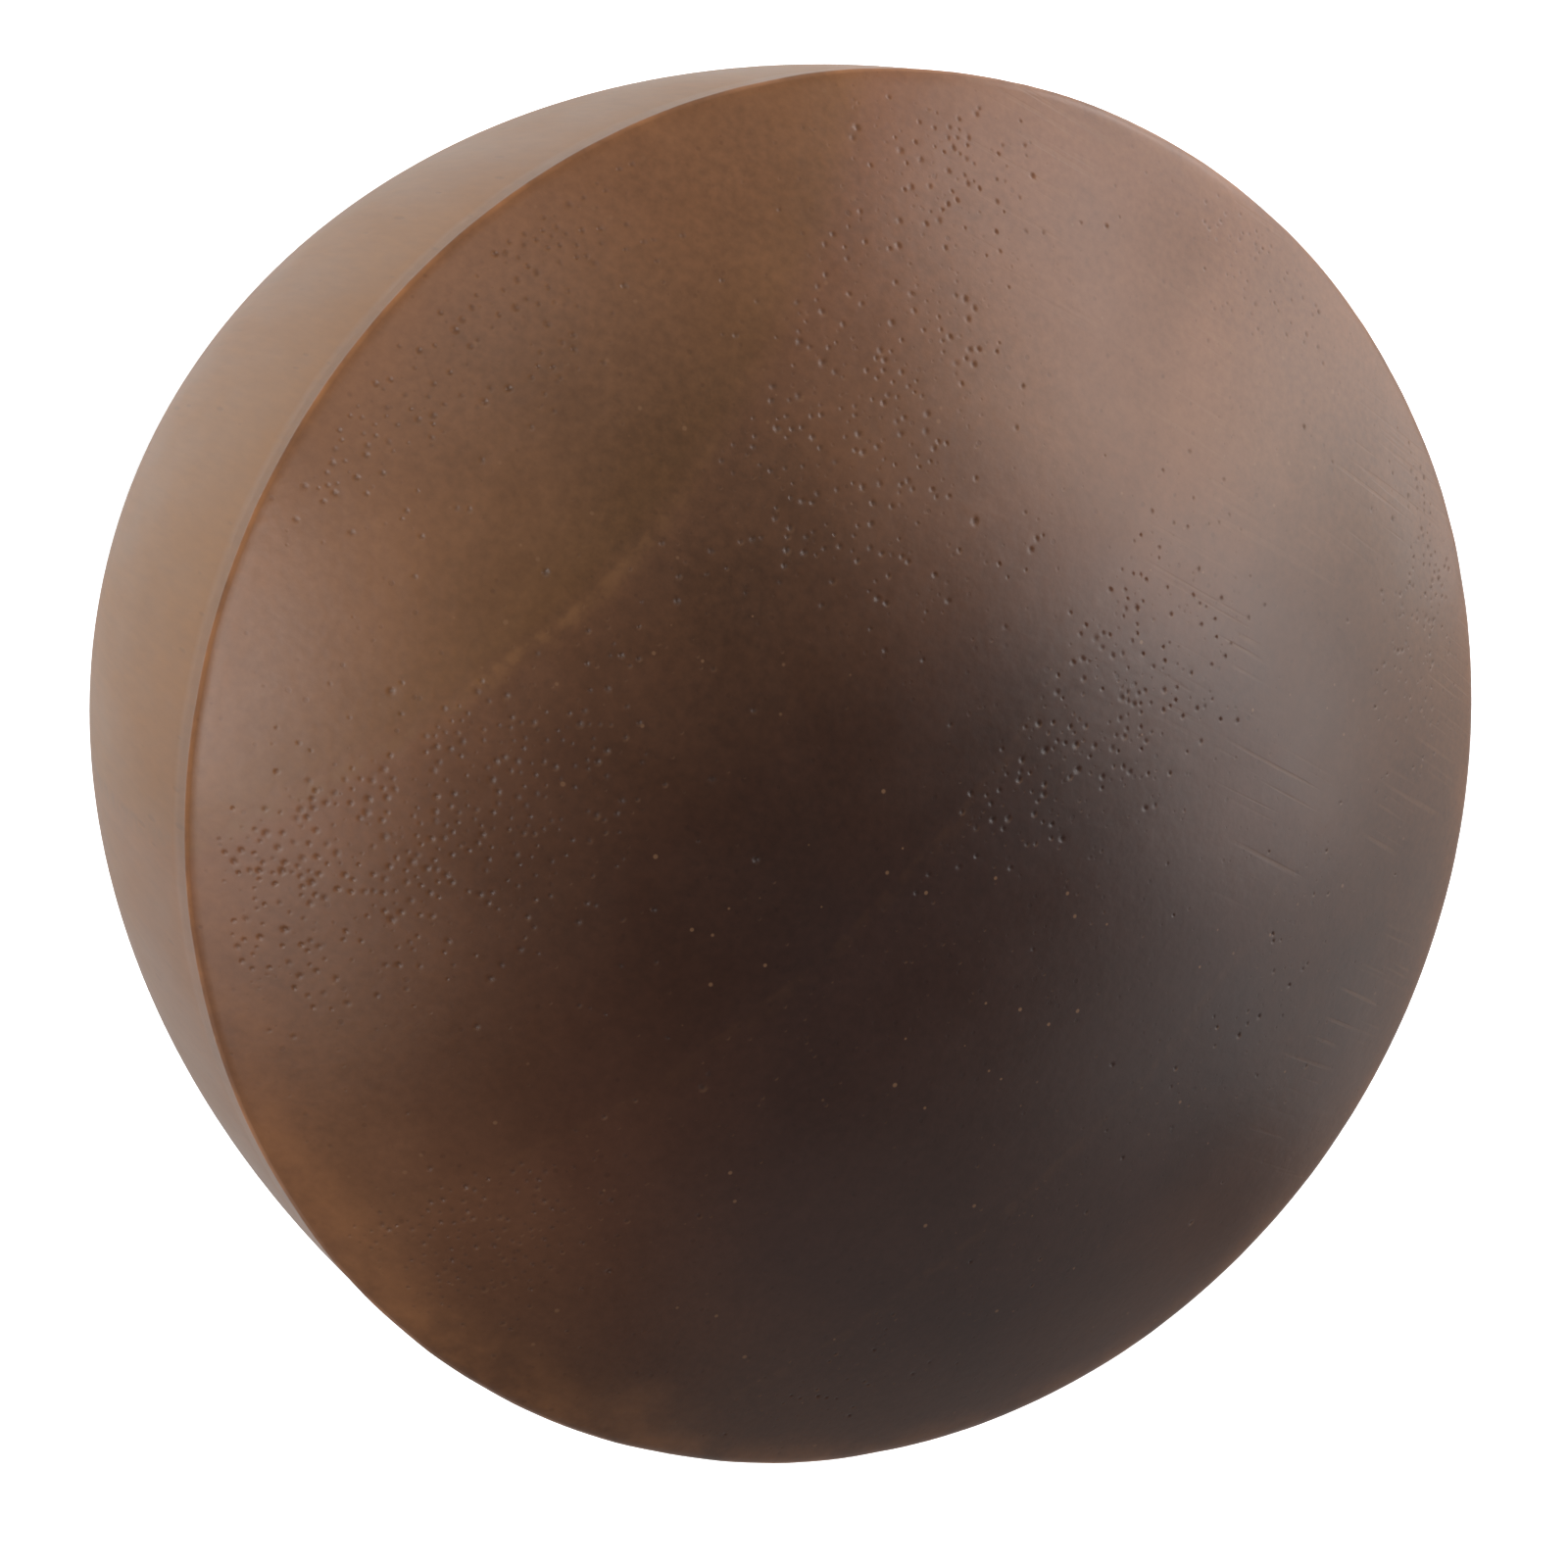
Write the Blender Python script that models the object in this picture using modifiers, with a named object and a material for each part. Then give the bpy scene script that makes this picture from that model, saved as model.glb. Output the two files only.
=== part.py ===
"""Small round carver's mallet: a turned head on a turned handle, joined by a blind tenon.

Metres, +Z up along the turning axis. The origin is the middle of the flat butt of the
handle, on which the mallet stands, and the domed striking end of the head is on top.
"""
import math

import bmesh
import bpy

# ---------------------------------------------------------------- driving dimensions
RIM_R = 0.031              # radius of the edge between the dome and the side of the head
DOME_EDGE_SLOPE = 27.0     # degrees that the dome has fallen at its edge
ARRIS_R = 0.0007           # rounding of that edge
RIM_Z = 0.178              # height of that edge above the butt
HEAD_FOOT_Z = 0.090        # underside of the head, where the handle's shoulder meets it
BELLY_DROP = 0.0225        # how far below the rim the head is widest
BELLY_R = 0.0332           # its widest radius
BELLY_CURVE_R = 0.106      # radius of the curve down the side
NECK_TOP_Z = 0.113         # where the side turns into the hollow above the neck
HEAD_FOOT_R = 0.0158       # radius of the head's underside
FOOT_ROUND = 0.0010        # rounding of its edge

SOCKET_R = 0.0090          # blind bore in the head
SOCKET_DEPTH = 0.046
FIT_GAP = 0.0003           # clearance between touching pieces

SHOULDER_R = 0.0150        # top of the handle, which bears on the head
WAIST_R, WAIST_Z = 0.0120, 0.0745      # thin place for the thumb and finger
PALM_R, PALM_Z = 0.0139, 0.0525        # swell that fills the palm
WRIST_R, WRIST_Z = 0.0121, 0.0290      # thin place above the butt
BUTT_R, BUTT_Z = 0.0180, 0.0100        # flare that stops the hand
BUTT_FACE_R = 0.0166       # flat that it stands on
SHOULDER_FLARE = 0.55      # dr/dz where the handle meets the head
BUTT_TURN = 0.30           # dr/dz where the butt turns under
EASED_EDGE = 0.0007        # rounding of the handle's edges
TENON_CHAMFER = 0.0012
TENON_SHORT = 0.0016       # room left between the tenon's end and the end of the socket

KERF_DEPTH = 0.026         # saw cut down the tenon
KERF_WIDE = 0.0034         # width of the cut at its mouth, once it is spread
KERF_NARROW = 0.0016       # width at its foot
WEDGE_LENGTH = 0.0235
WEDGE_NARROWER = 0.0012    # how much narrower the wedge is than the tenon

PEG_R = 0.0030             # cross peg through the neck and the tenon
PEG_Z = 0.1035

THROUGH = 0.080            # length of a cutter that goes right through a piece
CUTTER_OVERRUN = 0.004     # how far a cutter starts outside the face that it cuts
HEAD_SEGMENTS = 48
HANDLE_SEGMENTS = 36
PEG_SEGMENTS = 20

# colour, roughness and metallic value of each finish
FINISHES = {
    "head_walnut": ((0.150, 0.075, 0.042), 0.38, 0.0),
    "handle_walnut": ((0.200, 0.108, 0.062), 0.42, 0.0),
    "wedge_oak": ((0.420, 0.270, 0.140), 0.55, 0.0),
    "peg_oak": ((0.360, 0.220, 0.115), 0.45, 0.0),
}

COLLECTION = "carvers_mallet"
CUTTERS = "cutters"


# ---------------------------------------------------------------- scene helpers
def clear_scene():
    for thing in list(bpy.data.objects):
        bpy.data.objects.remove(thing, do_unlink=True)


def make_collection(name):
    group = bpy.data.collections.new(name)
    bpy.context.scene.collection.children.link(group)
    return group


def make_material(name):
    colour, roughness, metallic = FINISHES[name]
    material = bpy.data.materials.new(name)
    material.use_nodes = True
    shader = material.node_tree.nodes["Principled BSDF"]
    shader.inputs["Base Color"].default_value = (*colour, 1.0)
    shader.inputs["Roughness"].default_value = roughness
    shader.inputs["Metallic"].default_value = metallic
    return material


def settle(piece):
    """Make the evaluated form the piece's own mesh, smooth except where it has an edge."""
    depsgraph = bpy.context.evaluated_depsgraph_get()
    mesh = bpy.data.meshes.new_from_object(piece.evaluated_get(depsgraph), depsgraph=depsgraph)
    piece.modifiers.clear()
    piece.data = mesh
    mesh.name = piece.name
    mesh.shade_smooth()
    mesh.set_sharp_from_angle(angle=math.radians(30.0))


def hide_cutter(cutter):
    cutter.hide_render = True
    cutter.display_type = "WIRE"


# ---------------------------------------------------------------- profile helpers
# A profile is a list of (radius, height) points that runs from the top of the axis,
# down the outside, to the bottom of the axis.
def arc(centre_r, centre_z, radius, start, end, steps):
    """Points on a circle about (centre_r, centre_z), from one angle to another in degrees."""
    points = []
    for k in range(steps + 1):
        angle = math.radians(start + (end - start) * k / steps)
        points.append((centre_r + radius * math.cos(angle), centre_z + radius * math.sin(angle)))
    return points


def bezier(p0, p1, p2, p3, steps):
    """Points on a cubic curve, without its first point."""
    points = []
    for k in range(1, steps + 1):
        t = k / steps
        a, b, c, d = (1 - t) ** 3, 3 * t * (1 - t) ** 2, 3 * t * t * (1 - t), t ** 3
        points.append(tuple(a * p0[i] + b * p1[i] + c * p2[i] + d * p3[i] for i in (0, 1)))
    return points


def smooth_run(knots, steps):
    """A curve through knots of (radius, height, slope), the slope being dr/dz."""
    points = [knots[0][:2]]
    for (r0, z0, m0), (r1, z1, m1) in zip(knots, knots[1:]):
        third = (z1 - z0) / 3
        leave = (r0 + m0 * third, z0 + third)
        arrive = (r1 - m1 * third, z1 - third)
        points += bezier((r0, z0), leave, arrive, (r1, z1), steps)
    return points


# ---------------------------------------------------------------- outlines
def side_radius(z):
    """Radius of the head's bellied side at a height."""
    drop = z - (RIM_Z - BELLY_DROP)
    return BELLY_R - BELLY_CURVE_R + math.sqrt(BELLY_CURVE_R ** 2 - drop ** 2)


def side_slope(z):
    """dr/dz of the head's side at a height."""
    drop = z - (RIM_Z - BELLY_DROP)
    return -drop / math.sqrt(BELLY_CURVE_R ** 2 - drop ** 2)


def dome_profile():
    """The striking face: a shallow cap of a sphere, rounded over at the rim."""
    slope = math.radians(DOME_EDGE_SLOPE)
    sphere_r = RIM_R / math.sin(slope)
    centre_z = RIM_Z - sphere_r * math.cos(slope)
    edge = 90.0 - DOME_EDGE_SLOPE + math.degrees(ARRIS_R / sphere_r)
    cap = arc(0.0, centre_z, sphere_r, 90.0, edge, 9)
    cap[0] = (0.0, centre_z + sphere_r)
    r0, z0 = cap[-1]
    z1 = RIM_Z - ARRIS_R
    r1 = side_radius(z1)
    return cap + bezier((r0, z0), (RIM_R, RIM_Z), (RIM_R, RIM_Z), (r1, z1), 4)


def head_profile():
    """The dome, the bellied side, the hollow above the neck and the flat underside."""
    points = dome_profile()
    top = RIM_Z - ARRIS_R
    runs = 13
    for k in range(1, runs + 1):
        z = top + (NECK_TOP_Z - top) * k / runs
        points.append((side_radius(z), z))
    r0, z0, m0 = side_radius(NECK_TOP_Z), NECK_TOP_Z, side_slope(NECK_TOP_Z)
    reach = (z0 - HEAD_FOOT_Z) * 0.42
    r1, z1 = HEAD_FOOT_R, HEAD_FOOT_Z + FOOT_ROUND
    points += bezier((r0, z0), (r0 - m0 * reach, z0 - reach), (r1, z1 + reach), (r1, z1), 7)
    points += arc(r1 - FOOT_ROUND, z1, FOOT_ROUND, 0.0, -90.0, 3)[1:]
    points.append((0.0, HEAD_FOOT_Z))
    return points


def handle_profile():
    """Tenon, shoulder, waist, palm swell, wrist and the flared butt."""
    shoulder_z = HEAD_FOOT_Z - FIT_GAP
    tenon_r = SOCKET_R - FIT_GAP
    tenon_top = HEAD_FOOT_Z + SOCKET_DEPTH - TENON_SHORT
    points = [(0.0, tenon_top)]
    points += [(tenon_r - TENON_CHAMFER, tenon_top), (tenon_r, tenon_top - TENON_CHAMFER)]
    points += [(tenon_r, shoulder_z), (SHOULDER_R - EASED_EDGE, shoulder_z)]
    grip = [
        (SHOULDER_R, shoulder_z - EASED_EDGE, SHOULDER_FLARE),
        (WAIST_R, WAIST_Z, 0.0),
        (PALM_R, PALM_Z, 0.0),
        (WRIST_R, WRIST_Z, 0.0),
        (BUTT_R, BUTT_Z, 0.0),
        (BUTT_FACE_R + EASED_EDGE, EASED_EDGE, BUTT_TURN),
    ]
    points += smooth_run(grip, 6)
    points += [(BUTT_FACE_R, 0.0), (0.0, 0.0)]
    return points


def turned(name, profile, segments, group):
    """A solid of revolution about Z, from its outline at +X."""
    mesh = bpy.data.meshes.new(name)
    edges = [(k, k + 1) for k in range(len(profile) - 1)]
    mesh.from_pydata([(r, 0.0, z) for r, z in profile], edges, [])
    piece = bpy.data.objects.new(name, mesh)
    group.objects.link(piece)
    screw = piece.modifiers.new("turn", "SCREW")
    screw.steps = segments
    screw.render_steps = segments
    screw.use_merge_vertices = True
    screw.merge_threshold = 0.00002
    return piece


def cut(piece, cutter, name, operation="DIFFERENCE"):
    boolean = piece.modifiers.new(name, "BOOLEAN")
    boolean.operation = operation
    boolean.solver = "EXACT"
    boolean.object = cutter


def cylinder(name, radius, depth, location, rotation, segments, group):
    mesh = bpy.data.meshes.new(name)
    body = bmesh.new()
    bmesh.ops.create_cone(
        body, cap_ends=True, segments=segments, radius1=radius, radius2=radius, depth=depth
    )
    body.to_mesh(mesh)
    body.free()
    piece = bpy.data.objects.new(name, mesh)
    piece.location = location
    piece.rotation_euler = rotation
    group.objects.link(piece)
    return piece


def tapered_block(name, top_z, length, width, thick_top, thick_foot, group):
    """A block across X, thick in Y at its top and thin at its foot."""
    body = bmesh.new()
    bmesh.ops.create_cube(body, size=1.0)
    for vert in body.verts:
        at_top = vert.co.z > 0
        thickness = thick_top if at_top else thick_foot
        vert.co.x *= width
        vert.co.y *= thickness
        vert.co.z = top_z if at_top else top_z - length
    mesh = bpy.data.meshes.new(name)
    body.to_mesh(mesh)
    body.free()
    piece = bpy.data.objects.new(name, mesh)
    group.objects.link(piece)
    return piece


# ---------------------------------------------------------------- pieces
UPRIGHT = (0.0, 0.0, 0.0)
ACROSS_X = (0.0, math.pi / 2, 0.0)


def make_peg_hole_cutter(cutters):
    """One drilling through the neck and the tenon, a loose fit on the peg."""
    place = (0.0, 0.0, PEG_Z)
    drill = cylinder("peg_hole_cutter", PEG_R + FIT_GAP, THROUGH, place, ACROSS_X, PEG_SEGMENTS, cutters)
    hide_cutter(drill)
    return drill


def make_head(group, cutters, peg_hole):
    head = turned("mallet_head", head_profile(), HEAD_SEGMENTS, group)
    depth = SOCKET_DEPTH + CUTTER_OVERRUN
    place = (0.0, 0.0, HEAD_FOOT_Z + SOCKET_DEPTH - depth / 2)
    socket = cylinder("socket_cutter", SOCKET_R, depth, place, UPRIGHT, HANDLE_SEGMENTS, cutters)
    hide_cutter(socket)
    cut(head, socket, "socket")
    cut(head, peg_hole, "peg_hole")
    head.data.materials.append(make_material("head_walnut"))
    return head


def make_handle(group, cutters, peg_hole):
    handle = turned("mallet_handle", handle_profile(), HANDLE_SEGMENTS, group)
    mouth = HEAD_FOOT_Z + SOCKET_DEPTH
    kerf = tapered_block("kerf_cutter", mouth, KERF_DEPTH, THROUGH, KERF_WIDE, KERF_NARROW, cutters)
    hide_cutter(kerf)
    cut(handle, kerf, "kerf")
    cut(handle, peg_hole, "peg_hole")
    handle.data.materials.append(make_material("handle_walnut"))
    return handle


def make_fox_wedge(group):
    """Hardwood wedge that the socket's end drives into the tenon's saw cut."""
    top = HEAD_FOOT_Z + SOCKET_DEPTH - FIT_GAP
    taper = (KERF_WIDE - KERF_NARROW) / KERF_DEPTH
    thick = KERF_WIDE - 2 * FIT_GAP
    foot = thick - taper * WEDGE_LENGTH
    tenon_r = SOCKET_R - FIT_GAP
    width = 2 * math.sqrt(tenon_r ** 2 - (thick / 2) ** 2) - WEDGE_NARROWER
    wedge = tapered_block("fox_wedge", top, WEDGE_LENGTH, width, thick, foot, group)
    wedge.data.materials.append(make_material("wedge_oak"))
    return wedge


def make_cross_peg(group, cutters):
    """Round peg through the neck and the tenon, pared flush with the turned surface."""
    peg = cylinder("cross_peg", PEG_R, THROUGH, (0.0, 0.0, PEG_Z), ACROSS_X, PEG_SEGMENTS, group)
    outline = turned("neck_outline_cutter", head_profile(), HEAD_SEGMENTS, cutters)
    hide_cutter(outline)
    cut(peg, outline, "pared_flush", "INTERSECT")
    peg.data.materials.append(make_material("peg_oak"))
    return peg


def main():
    clear_scene()
    group = make_collection(COLLECTION)
    cutters = make_collection(CUTTERS)
    peg_hole = make_peg_hole_cutter(cutters)
    pieces = [
        make_head(group, cutters, peg_hole),
        make_handle(group, cutters, peg_hole),
        make_fox_wedge(group),
        make_cross_peg(group, cutters),
    ]
    for piece in pieces:
        settle(piece)


main()
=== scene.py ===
# %% [markdown]
# # A small carver's mallet
# The mallet is a walnut head turned on a lathe, with a domed striking face of end grain, on a
# turned handle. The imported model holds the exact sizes; this lesson gives it its looks.
# Everything is in metres, +Z runs up the turning axis, and the butt stands on the floor at z = 0.

# %% Load the fixed frame
import math
import random

import bmesh
import bpy
from mathutils import Matrix, Vector, geometry, kdtree


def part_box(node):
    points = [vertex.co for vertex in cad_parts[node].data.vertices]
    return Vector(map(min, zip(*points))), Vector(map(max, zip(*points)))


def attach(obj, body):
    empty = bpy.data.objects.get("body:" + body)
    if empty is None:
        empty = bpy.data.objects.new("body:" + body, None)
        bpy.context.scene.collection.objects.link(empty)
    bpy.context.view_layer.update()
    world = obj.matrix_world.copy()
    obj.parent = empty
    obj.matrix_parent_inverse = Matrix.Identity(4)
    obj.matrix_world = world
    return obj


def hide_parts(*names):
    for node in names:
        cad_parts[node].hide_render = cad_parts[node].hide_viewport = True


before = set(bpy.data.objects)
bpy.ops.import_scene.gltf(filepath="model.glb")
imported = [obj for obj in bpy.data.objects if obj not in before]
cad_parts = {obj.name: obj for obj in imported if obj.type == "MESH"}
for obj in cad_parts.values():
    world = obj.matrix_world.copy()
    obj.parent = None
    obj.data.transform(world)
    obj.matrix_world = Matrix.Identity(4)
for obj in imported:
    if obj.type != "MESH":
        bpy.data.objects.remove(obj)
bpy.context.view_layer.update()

MM = 0.001

head_low, head_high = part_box("mallet_head")
peg_low, peg_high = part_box("cross_peg")
tenon_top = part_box("mallet_handle")[1].z
print("head", tuple(head_low), tuple(head_high))

# %% [markdown]
# ## The outline's dimensions
# A turner works from a few measures: the rim of the dome, the belly, the neck and the foot.
# The frame gives the ones that its boxes show, and the others are the design's own numbers.

# %% Driving dimensions
RIM_R = 31.0 * MM            # edge between the dome and the side
RIM_Z = 178.0 * MM
DOME_EDGE_SLOPE = math.radians(27.0)
ARRIS = 0.3 * MM             # how far the eased edge reaches each way
BELLY_DROP = 22.5 * MM       # the head is widest this far below the rim
BELLY_R = head_high.x
BELLY_CURVE_R = 106.0 * MM
NECK_TOP_Z = 113.0 * MM
HEAD_FOOT_Z = head_low.z
HEAD_FOOT_R = 15.8 * MM
FOOT_ROUND = 1.0 * MM
SOCKET_R = 9.0 * MM
SOCKET_DEPTH = 46.0 * MM
FIT_GAP = 0.3 * MM           # what the model keeps between its pieces
GLUE_LINE = 0.06 * MM        # what shows of a closed joint
PEG_R = (peg_high.z - peg_low.z) / 2
PEG_Z = (peg_high.z + peg_low.z) / 2

DOME_R = RIM_R / math.sin(DOME_EDGE_SLOPE)
DOME_CENTRE_Z = RIM_Z - DOME_R * math.cos(DOME_EDGE_SLOPE)
print(f"dome radius {DOME_R / MM:.2f} mm, top at {(DOME_CENTRE_Z + DOME_R) / MM:.2f} mm")

# %% [markdown]
# ## Camera
# The view looks down on the dome from close by, a little off the mallet's axis, so that the head
# hides its own handle. The camera's axes are worked out from two angles: the tilt between the line
# of sight and the turning axis, and the roll of the frame about the line of sight.

# %% Place the camera
scene = bpy.context.scene
TILT = math.radians(25.6)
ROLL = math.radians(26.9)
LENS = 42.12                 # mm, on a 36 mm sensor
STAND_OFF = 2.6 * RIM_R      # along the line of sight, to the middle of the rim
RIGHT_OF_SIGHT = 0.194 * RIM_R
BELOW_SIGHT = 0.042 * RIM_R

sight = Vector((math.sin(TILT), 0.0, -math.cos(TILT)))
right = Vector((math.cos(TILT) * math.cos(ROLL), math.sin(ROLL), math.sin(TILT) * math.cos(ROLL)))
down = sight.cross(right)
rim_centre = Vector((0.0, 0.0, RIM_Z))
eye = rim_centre - sight * STAND_OFF - right * RIGHT_OF_SIGHT - down * BELOW_SIGHT

camera_data = bpy.data.cameras.new("camera")
camera_data.lens = LENS
camera_data.clip_start = 0.005
camera = bpy.data.objects.new("camera", camera_data)
turn = Matrix((right, -down, -sight)).transposed()
camera.matrix_world = Matrix.Translation(eye) @ turn.to_4x4()
scene.collection.objects.link(camera)
scene.camera = camera
scene.view_settings.view_transform = "Standard"
print("camera at", tuple(round(value, 4) for value in eye))

# %% [markdown]
# ## Node helpers
# Every tree below is built by adding a node, setting some of its sockets and linking others.
# One small class does all three, so that a tree reads as a list of steps.

# %% A short way to write a node tree
class Tree:
    """A node tree whose nodes are added with their settings, values and links in one call."""

    def __init__(self, tree):
        self.tree = tree

    def add(self, kind, feeds=None, **settings):
        node = self.tree.nodes.new(kind)
        for name, value in settings.items():
            setattr(node, name, value)
        for key, value in (feeds or {}).items():
            self.feed(node.inputs[key], value)
        return node

    def feed(self, socket, value):
        if isinstance(value, bpy.types.NodeSocket):
            self.tree.links.new(value, socket)
        else:
            socket.default_value = value

    def math(self, operation, *values, clamp=False):
        feeds = dict(enumerate(values))
        return self.add("ShaderNodeMath", feeds, operation=operation, use_clamp=clamp).outputs[0]

    def times(self, *values, clamp=False):
        """The product of two or more values."""
        product = values[0]
        for value in values[1:]:
            product = self.math("MULTIPLY", product, value, clamp=clamp)
        return product

    def vector(self, operation, *values):
        """Vector maths; a length and a dot product come out as plain numbers."""
        node = self.add("ShaderNodeVectorMath", dict(enumerate(values)), operation=operation)
        return node.outputs["Value" if operation in ("LENGTH", "DOT_PRODUCT") else "Vector"]

    def combine(self, x, y, z=0.0):
        return self.add("ShaderNodeCombineXYZ", {0: x, 1: y, 2: z}).outputs[0]

    def remap(self, value, low, high, to_low=0.0, to_high=1.0, curve="LINEAR"):
        feeds = {"Value": value, "From Min": low, "From Max": high, "To Min": to_low, "To Max": to_high}
        return self.add("ShaderNodeMapRange", feeds, interpolation_type=curve).outputs[0]

    def smooth(self, value, low, high, to_low=0.0, to_high=1.0):
        return self.remap(value, low, high, to_low, to_high, "SMOOTHSTEP")

    def noise(self, vector, scale, detail=2.0, rough=0.5):
        feeds = {"Vector": vector, "Scale": scale, "Detail": detail, "Roughness": rough}
        return self.add("ShaderNodeTexNoise", feeds).outputs[0]

    def attribute(self, name):
        """What the mesh carries at its points under a name."""
        return self.add("ShaderNodeAttribute", attribute_name=name).outputs["Fac"]

    def grey(self, value):
        return self.add("ShaderNodeCombineColor", {0: value, 1: value, 2: value}).outputs[0]

    def mix(self, factor, first, second, blend="MIX"):
        feeds = {0: factor, 6: first, 7: second}
        return self.add("ShaderNodeMix", feeds, data_type="RGBA", blend_type=blend).outputs[2]

    def tint(self, colour, by, factor=1.0):
        """A colour multiplied by another one, as far as the factor says."""
        return self.mix(factor, colour, by, "MULTIPLY")

    def ramp(self, value, stops):
        """A colour ramp through (place, linear colour) stops."""
        node = self.add("ShaderNodeValToRGB", {0: value})
        points = node.color_ramp.elements
        while len(points) < len(stops):
            points.new(0.5)
        for point, (place, colour) in zip(points, stops):
            point.position = place
            point.color = (*colour, 1.0)
        return node.outputs[0]

    def bump(self, height, strength, depth):
        feeds = {"Height": height, "Strength": strength, "Distance": depth}
        return self.add("ShaderNodeBump", feeds).outputs[0]

    def use(self, group, **feeds):
        """Place a shader group; its inputs are keywords, with underscores for spaces."""
        node = self.add("ShaderNodeGroup", None, node_tree=group)
        for name, value in feeds.items():
            self.feed(node.inputs[name.replace("_", " ")], value)
        return node.outputs


def new_group(name, kind, inputs, outputs):
    """A node group with named sockets; inputs are (name, socket type, value)."""
    tree = bpy.data.node_groups.new(name, kind)
    for label, socket_type, value in inputs:
        socket = tree.interface.new_socket(name=label, in_out="INPUT", socket_type=socket_type)
        if value is not None:
            socket.default_value = value
    for label, socket_type in outputs:
        tree.interface.new_socket(name=label, in_out="OUTPUT", socket_type=socket_type)
    start = tree.nodes.new("NodeGroupInput")
    end = tree.nodes.new("NodeGroupOutput")
    return Tree(tree), start.outputs, end.inputs


def new_material(name):
    material = bpy.data.materials.new(name)
    material.use_nodes = True
    tree = Tree(material.node_tree)
    shader = material.node_tree.nodes["Principled BSDF"]
    shader.inputs["IOR"].default_value = 1.5
    position = tree.add("ShaderNodeTexCoord").outputs["Object"]
    return material, tree, shader.inputs, position


FLOAT = "NodeSocketFloat"
VECTOR = "NodeSocketVector"
COLOUR = "NodeSocketColor"
GEOMETRY = "NodeSocketGeometry"
INTEGER = "NodeSocketInt"
MATERIAL = "NodeSocketMaterial"
ACROSS = (1.0, 1.0, 0.0)     # times a place, this leaves its distance from the Z axis

# %% [markdown]
# ## Growth rings
# The head is cut from a plank with the tree's pith outside it, so the rings cross the end grain as
# wide arcs. Each ring starts with open, pale early wood and closes with denser, darker late wood.
# In space the rings are tubes round the pith, so one distance gives their place on every face.

# %% Shader group: where a point lies in its ring
PITH = Vector((-66.5 * MM, 16.7 * MM, 0.0))
FIRST_RING = 49.4 * MM       # distance from the pith to the first boundary in the head
RING_SPACING = 16.4 * MM


def growth_rings_group():
    inputs = [
        ("Position", VECTOR, None),
        ("Pith", VECTOR, PITH),
        ("First Ring", FLOAT, FIRST_RING),
        ("Spacing", FLOAT, RING_SPACING),
        ("Waver", FLOAT, 0.7 * MM),
    ]
    outputs = [("Count", FLOAT), ("Phase", FLOAT), ("Line", FLOAT)]
    tree, start, end = new_group("growth_rings", "ShaderNodeTree", inputs, outputs)
    away = tree.vector("SUBTRACT", start["Position"], start["Pith"])
    length = tree.vector("LENGTH", tree.vector("MULTIPLY", away, ACROSS))
    slow = tree.vector("MULTIPLY", start["Position"], (1.0, 1.0, 0.22))
    sway = tree.math("SUBTRACT", tree.noise(slow, 75.0), 0.5)
    distance = tree.math("MULTIPLY_ADD", sway, tree.times(start["Waver"], 2.0), length)
    count = tree.math("DIVIDE", tree.math("SUBTRACT", distance, start["First Ring"]), start["Spacing"])
    phase = tree.math("FRACT", count)
    after = tree.smooth(phase, 0.0, 0.055, 1.0, 0.0)
    before = tree.smooth(phase, 0.985, 1.0)
    tree.feed(end["Count"], count)
    tree.feed(end["Phase"], phase)
    tree.feed(end["Line"], tree.math("MAXIMUM", after, before))
    return tree.tree


growth_rings = growth_rings_group()

# %% [markdown]
# ## Fibres and vessels
# Wood is a bundle of tubes along the trunk. A noise squeezed along Z is streaky on the sides and
# a fine speckle on the end grain, with no seam between them. The vessels, the open tubes that show
# as pores, are the centres of Voronoi cells stretched the same way: dots on the ends, short dashes
# along the sides.

# %% Shader groups: fibre streaks and fine vessels
def along_grain(tree, start):
    """The position squeezed along Z, which stretches a pattern along the grain."""
    return tree.vector("MULTIPLY", start["Position"], tree.combine(1.0, 1.0, start["Along"]))


def fibres_group():
    inputs = [("Position", VECTOR, None), ("Along", FLOAT, 0.04), ("Fineness", FLOAT, 1400.0)]
    outputs = [("Streak", FLOAT), ("Broad", FLOAT)]
    tree, start, end = new_group("fibres", "ShaderNodeTree", inputs, outputs)
    thin = along_grain(tree, start)
    tree.feed(end["Streak"], tree.noise(thin, start["Fineness"], 3.0, 0.6))
    tree.feed(end["Broad"], tree.noise(thin, tree.times(start["Fineness"], 0.12), 3.0, 0.55))
    return tree.tree


def vessels_group():
    inputs = [
        ("Position", VECTOR, None),
        ("Along", FLOAT, 0.07),
        ("Fineness", FLOAT, 1500.0),
        ("Size", FLOAT, 0.16),
        ("Share", FLOAT, 0.5),
    ]
    tree, start, end = new_group("vessels", "ShaderNodeTree", inputs, [("Pore", FLOAT), ("Each", FLOAT)])
    feeds = {"Vector": along_grain(tree, start), "Scale": start["Fineness"]}
    cells = tree.add("ShaderNodeTexVoronoi", feeds).outputs
    chance = tree.add("ShaderNodeSeparateColor", {0: cells["Color"]}).outputs
    shown = tree.math("LESS_THAN", chance[0], start["Share"])
    size = tree.times(start["Size"], tree.remap(chance[1], 0.0, 1.0, 0.6, 1.4))
    dot = tree.smooth(cells["Distance"], tree.times(size, 0.5), size, 1.0, 0.0)
    tree.feed(end["Pore"], tree.times(dot, shown))
    tree.feed(end["Each"], chance[2])
    return tree.tree


fibres = fibres_group()
vessels = vessels_group()

# %% [markdown]
# ## Patches of tone
# Walnut is never one brown: cloudy areas of olive, red and grey run into each other. A slow noise
# gives the large clouds and one that is five times finer gives the small ones inside them.

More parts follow.
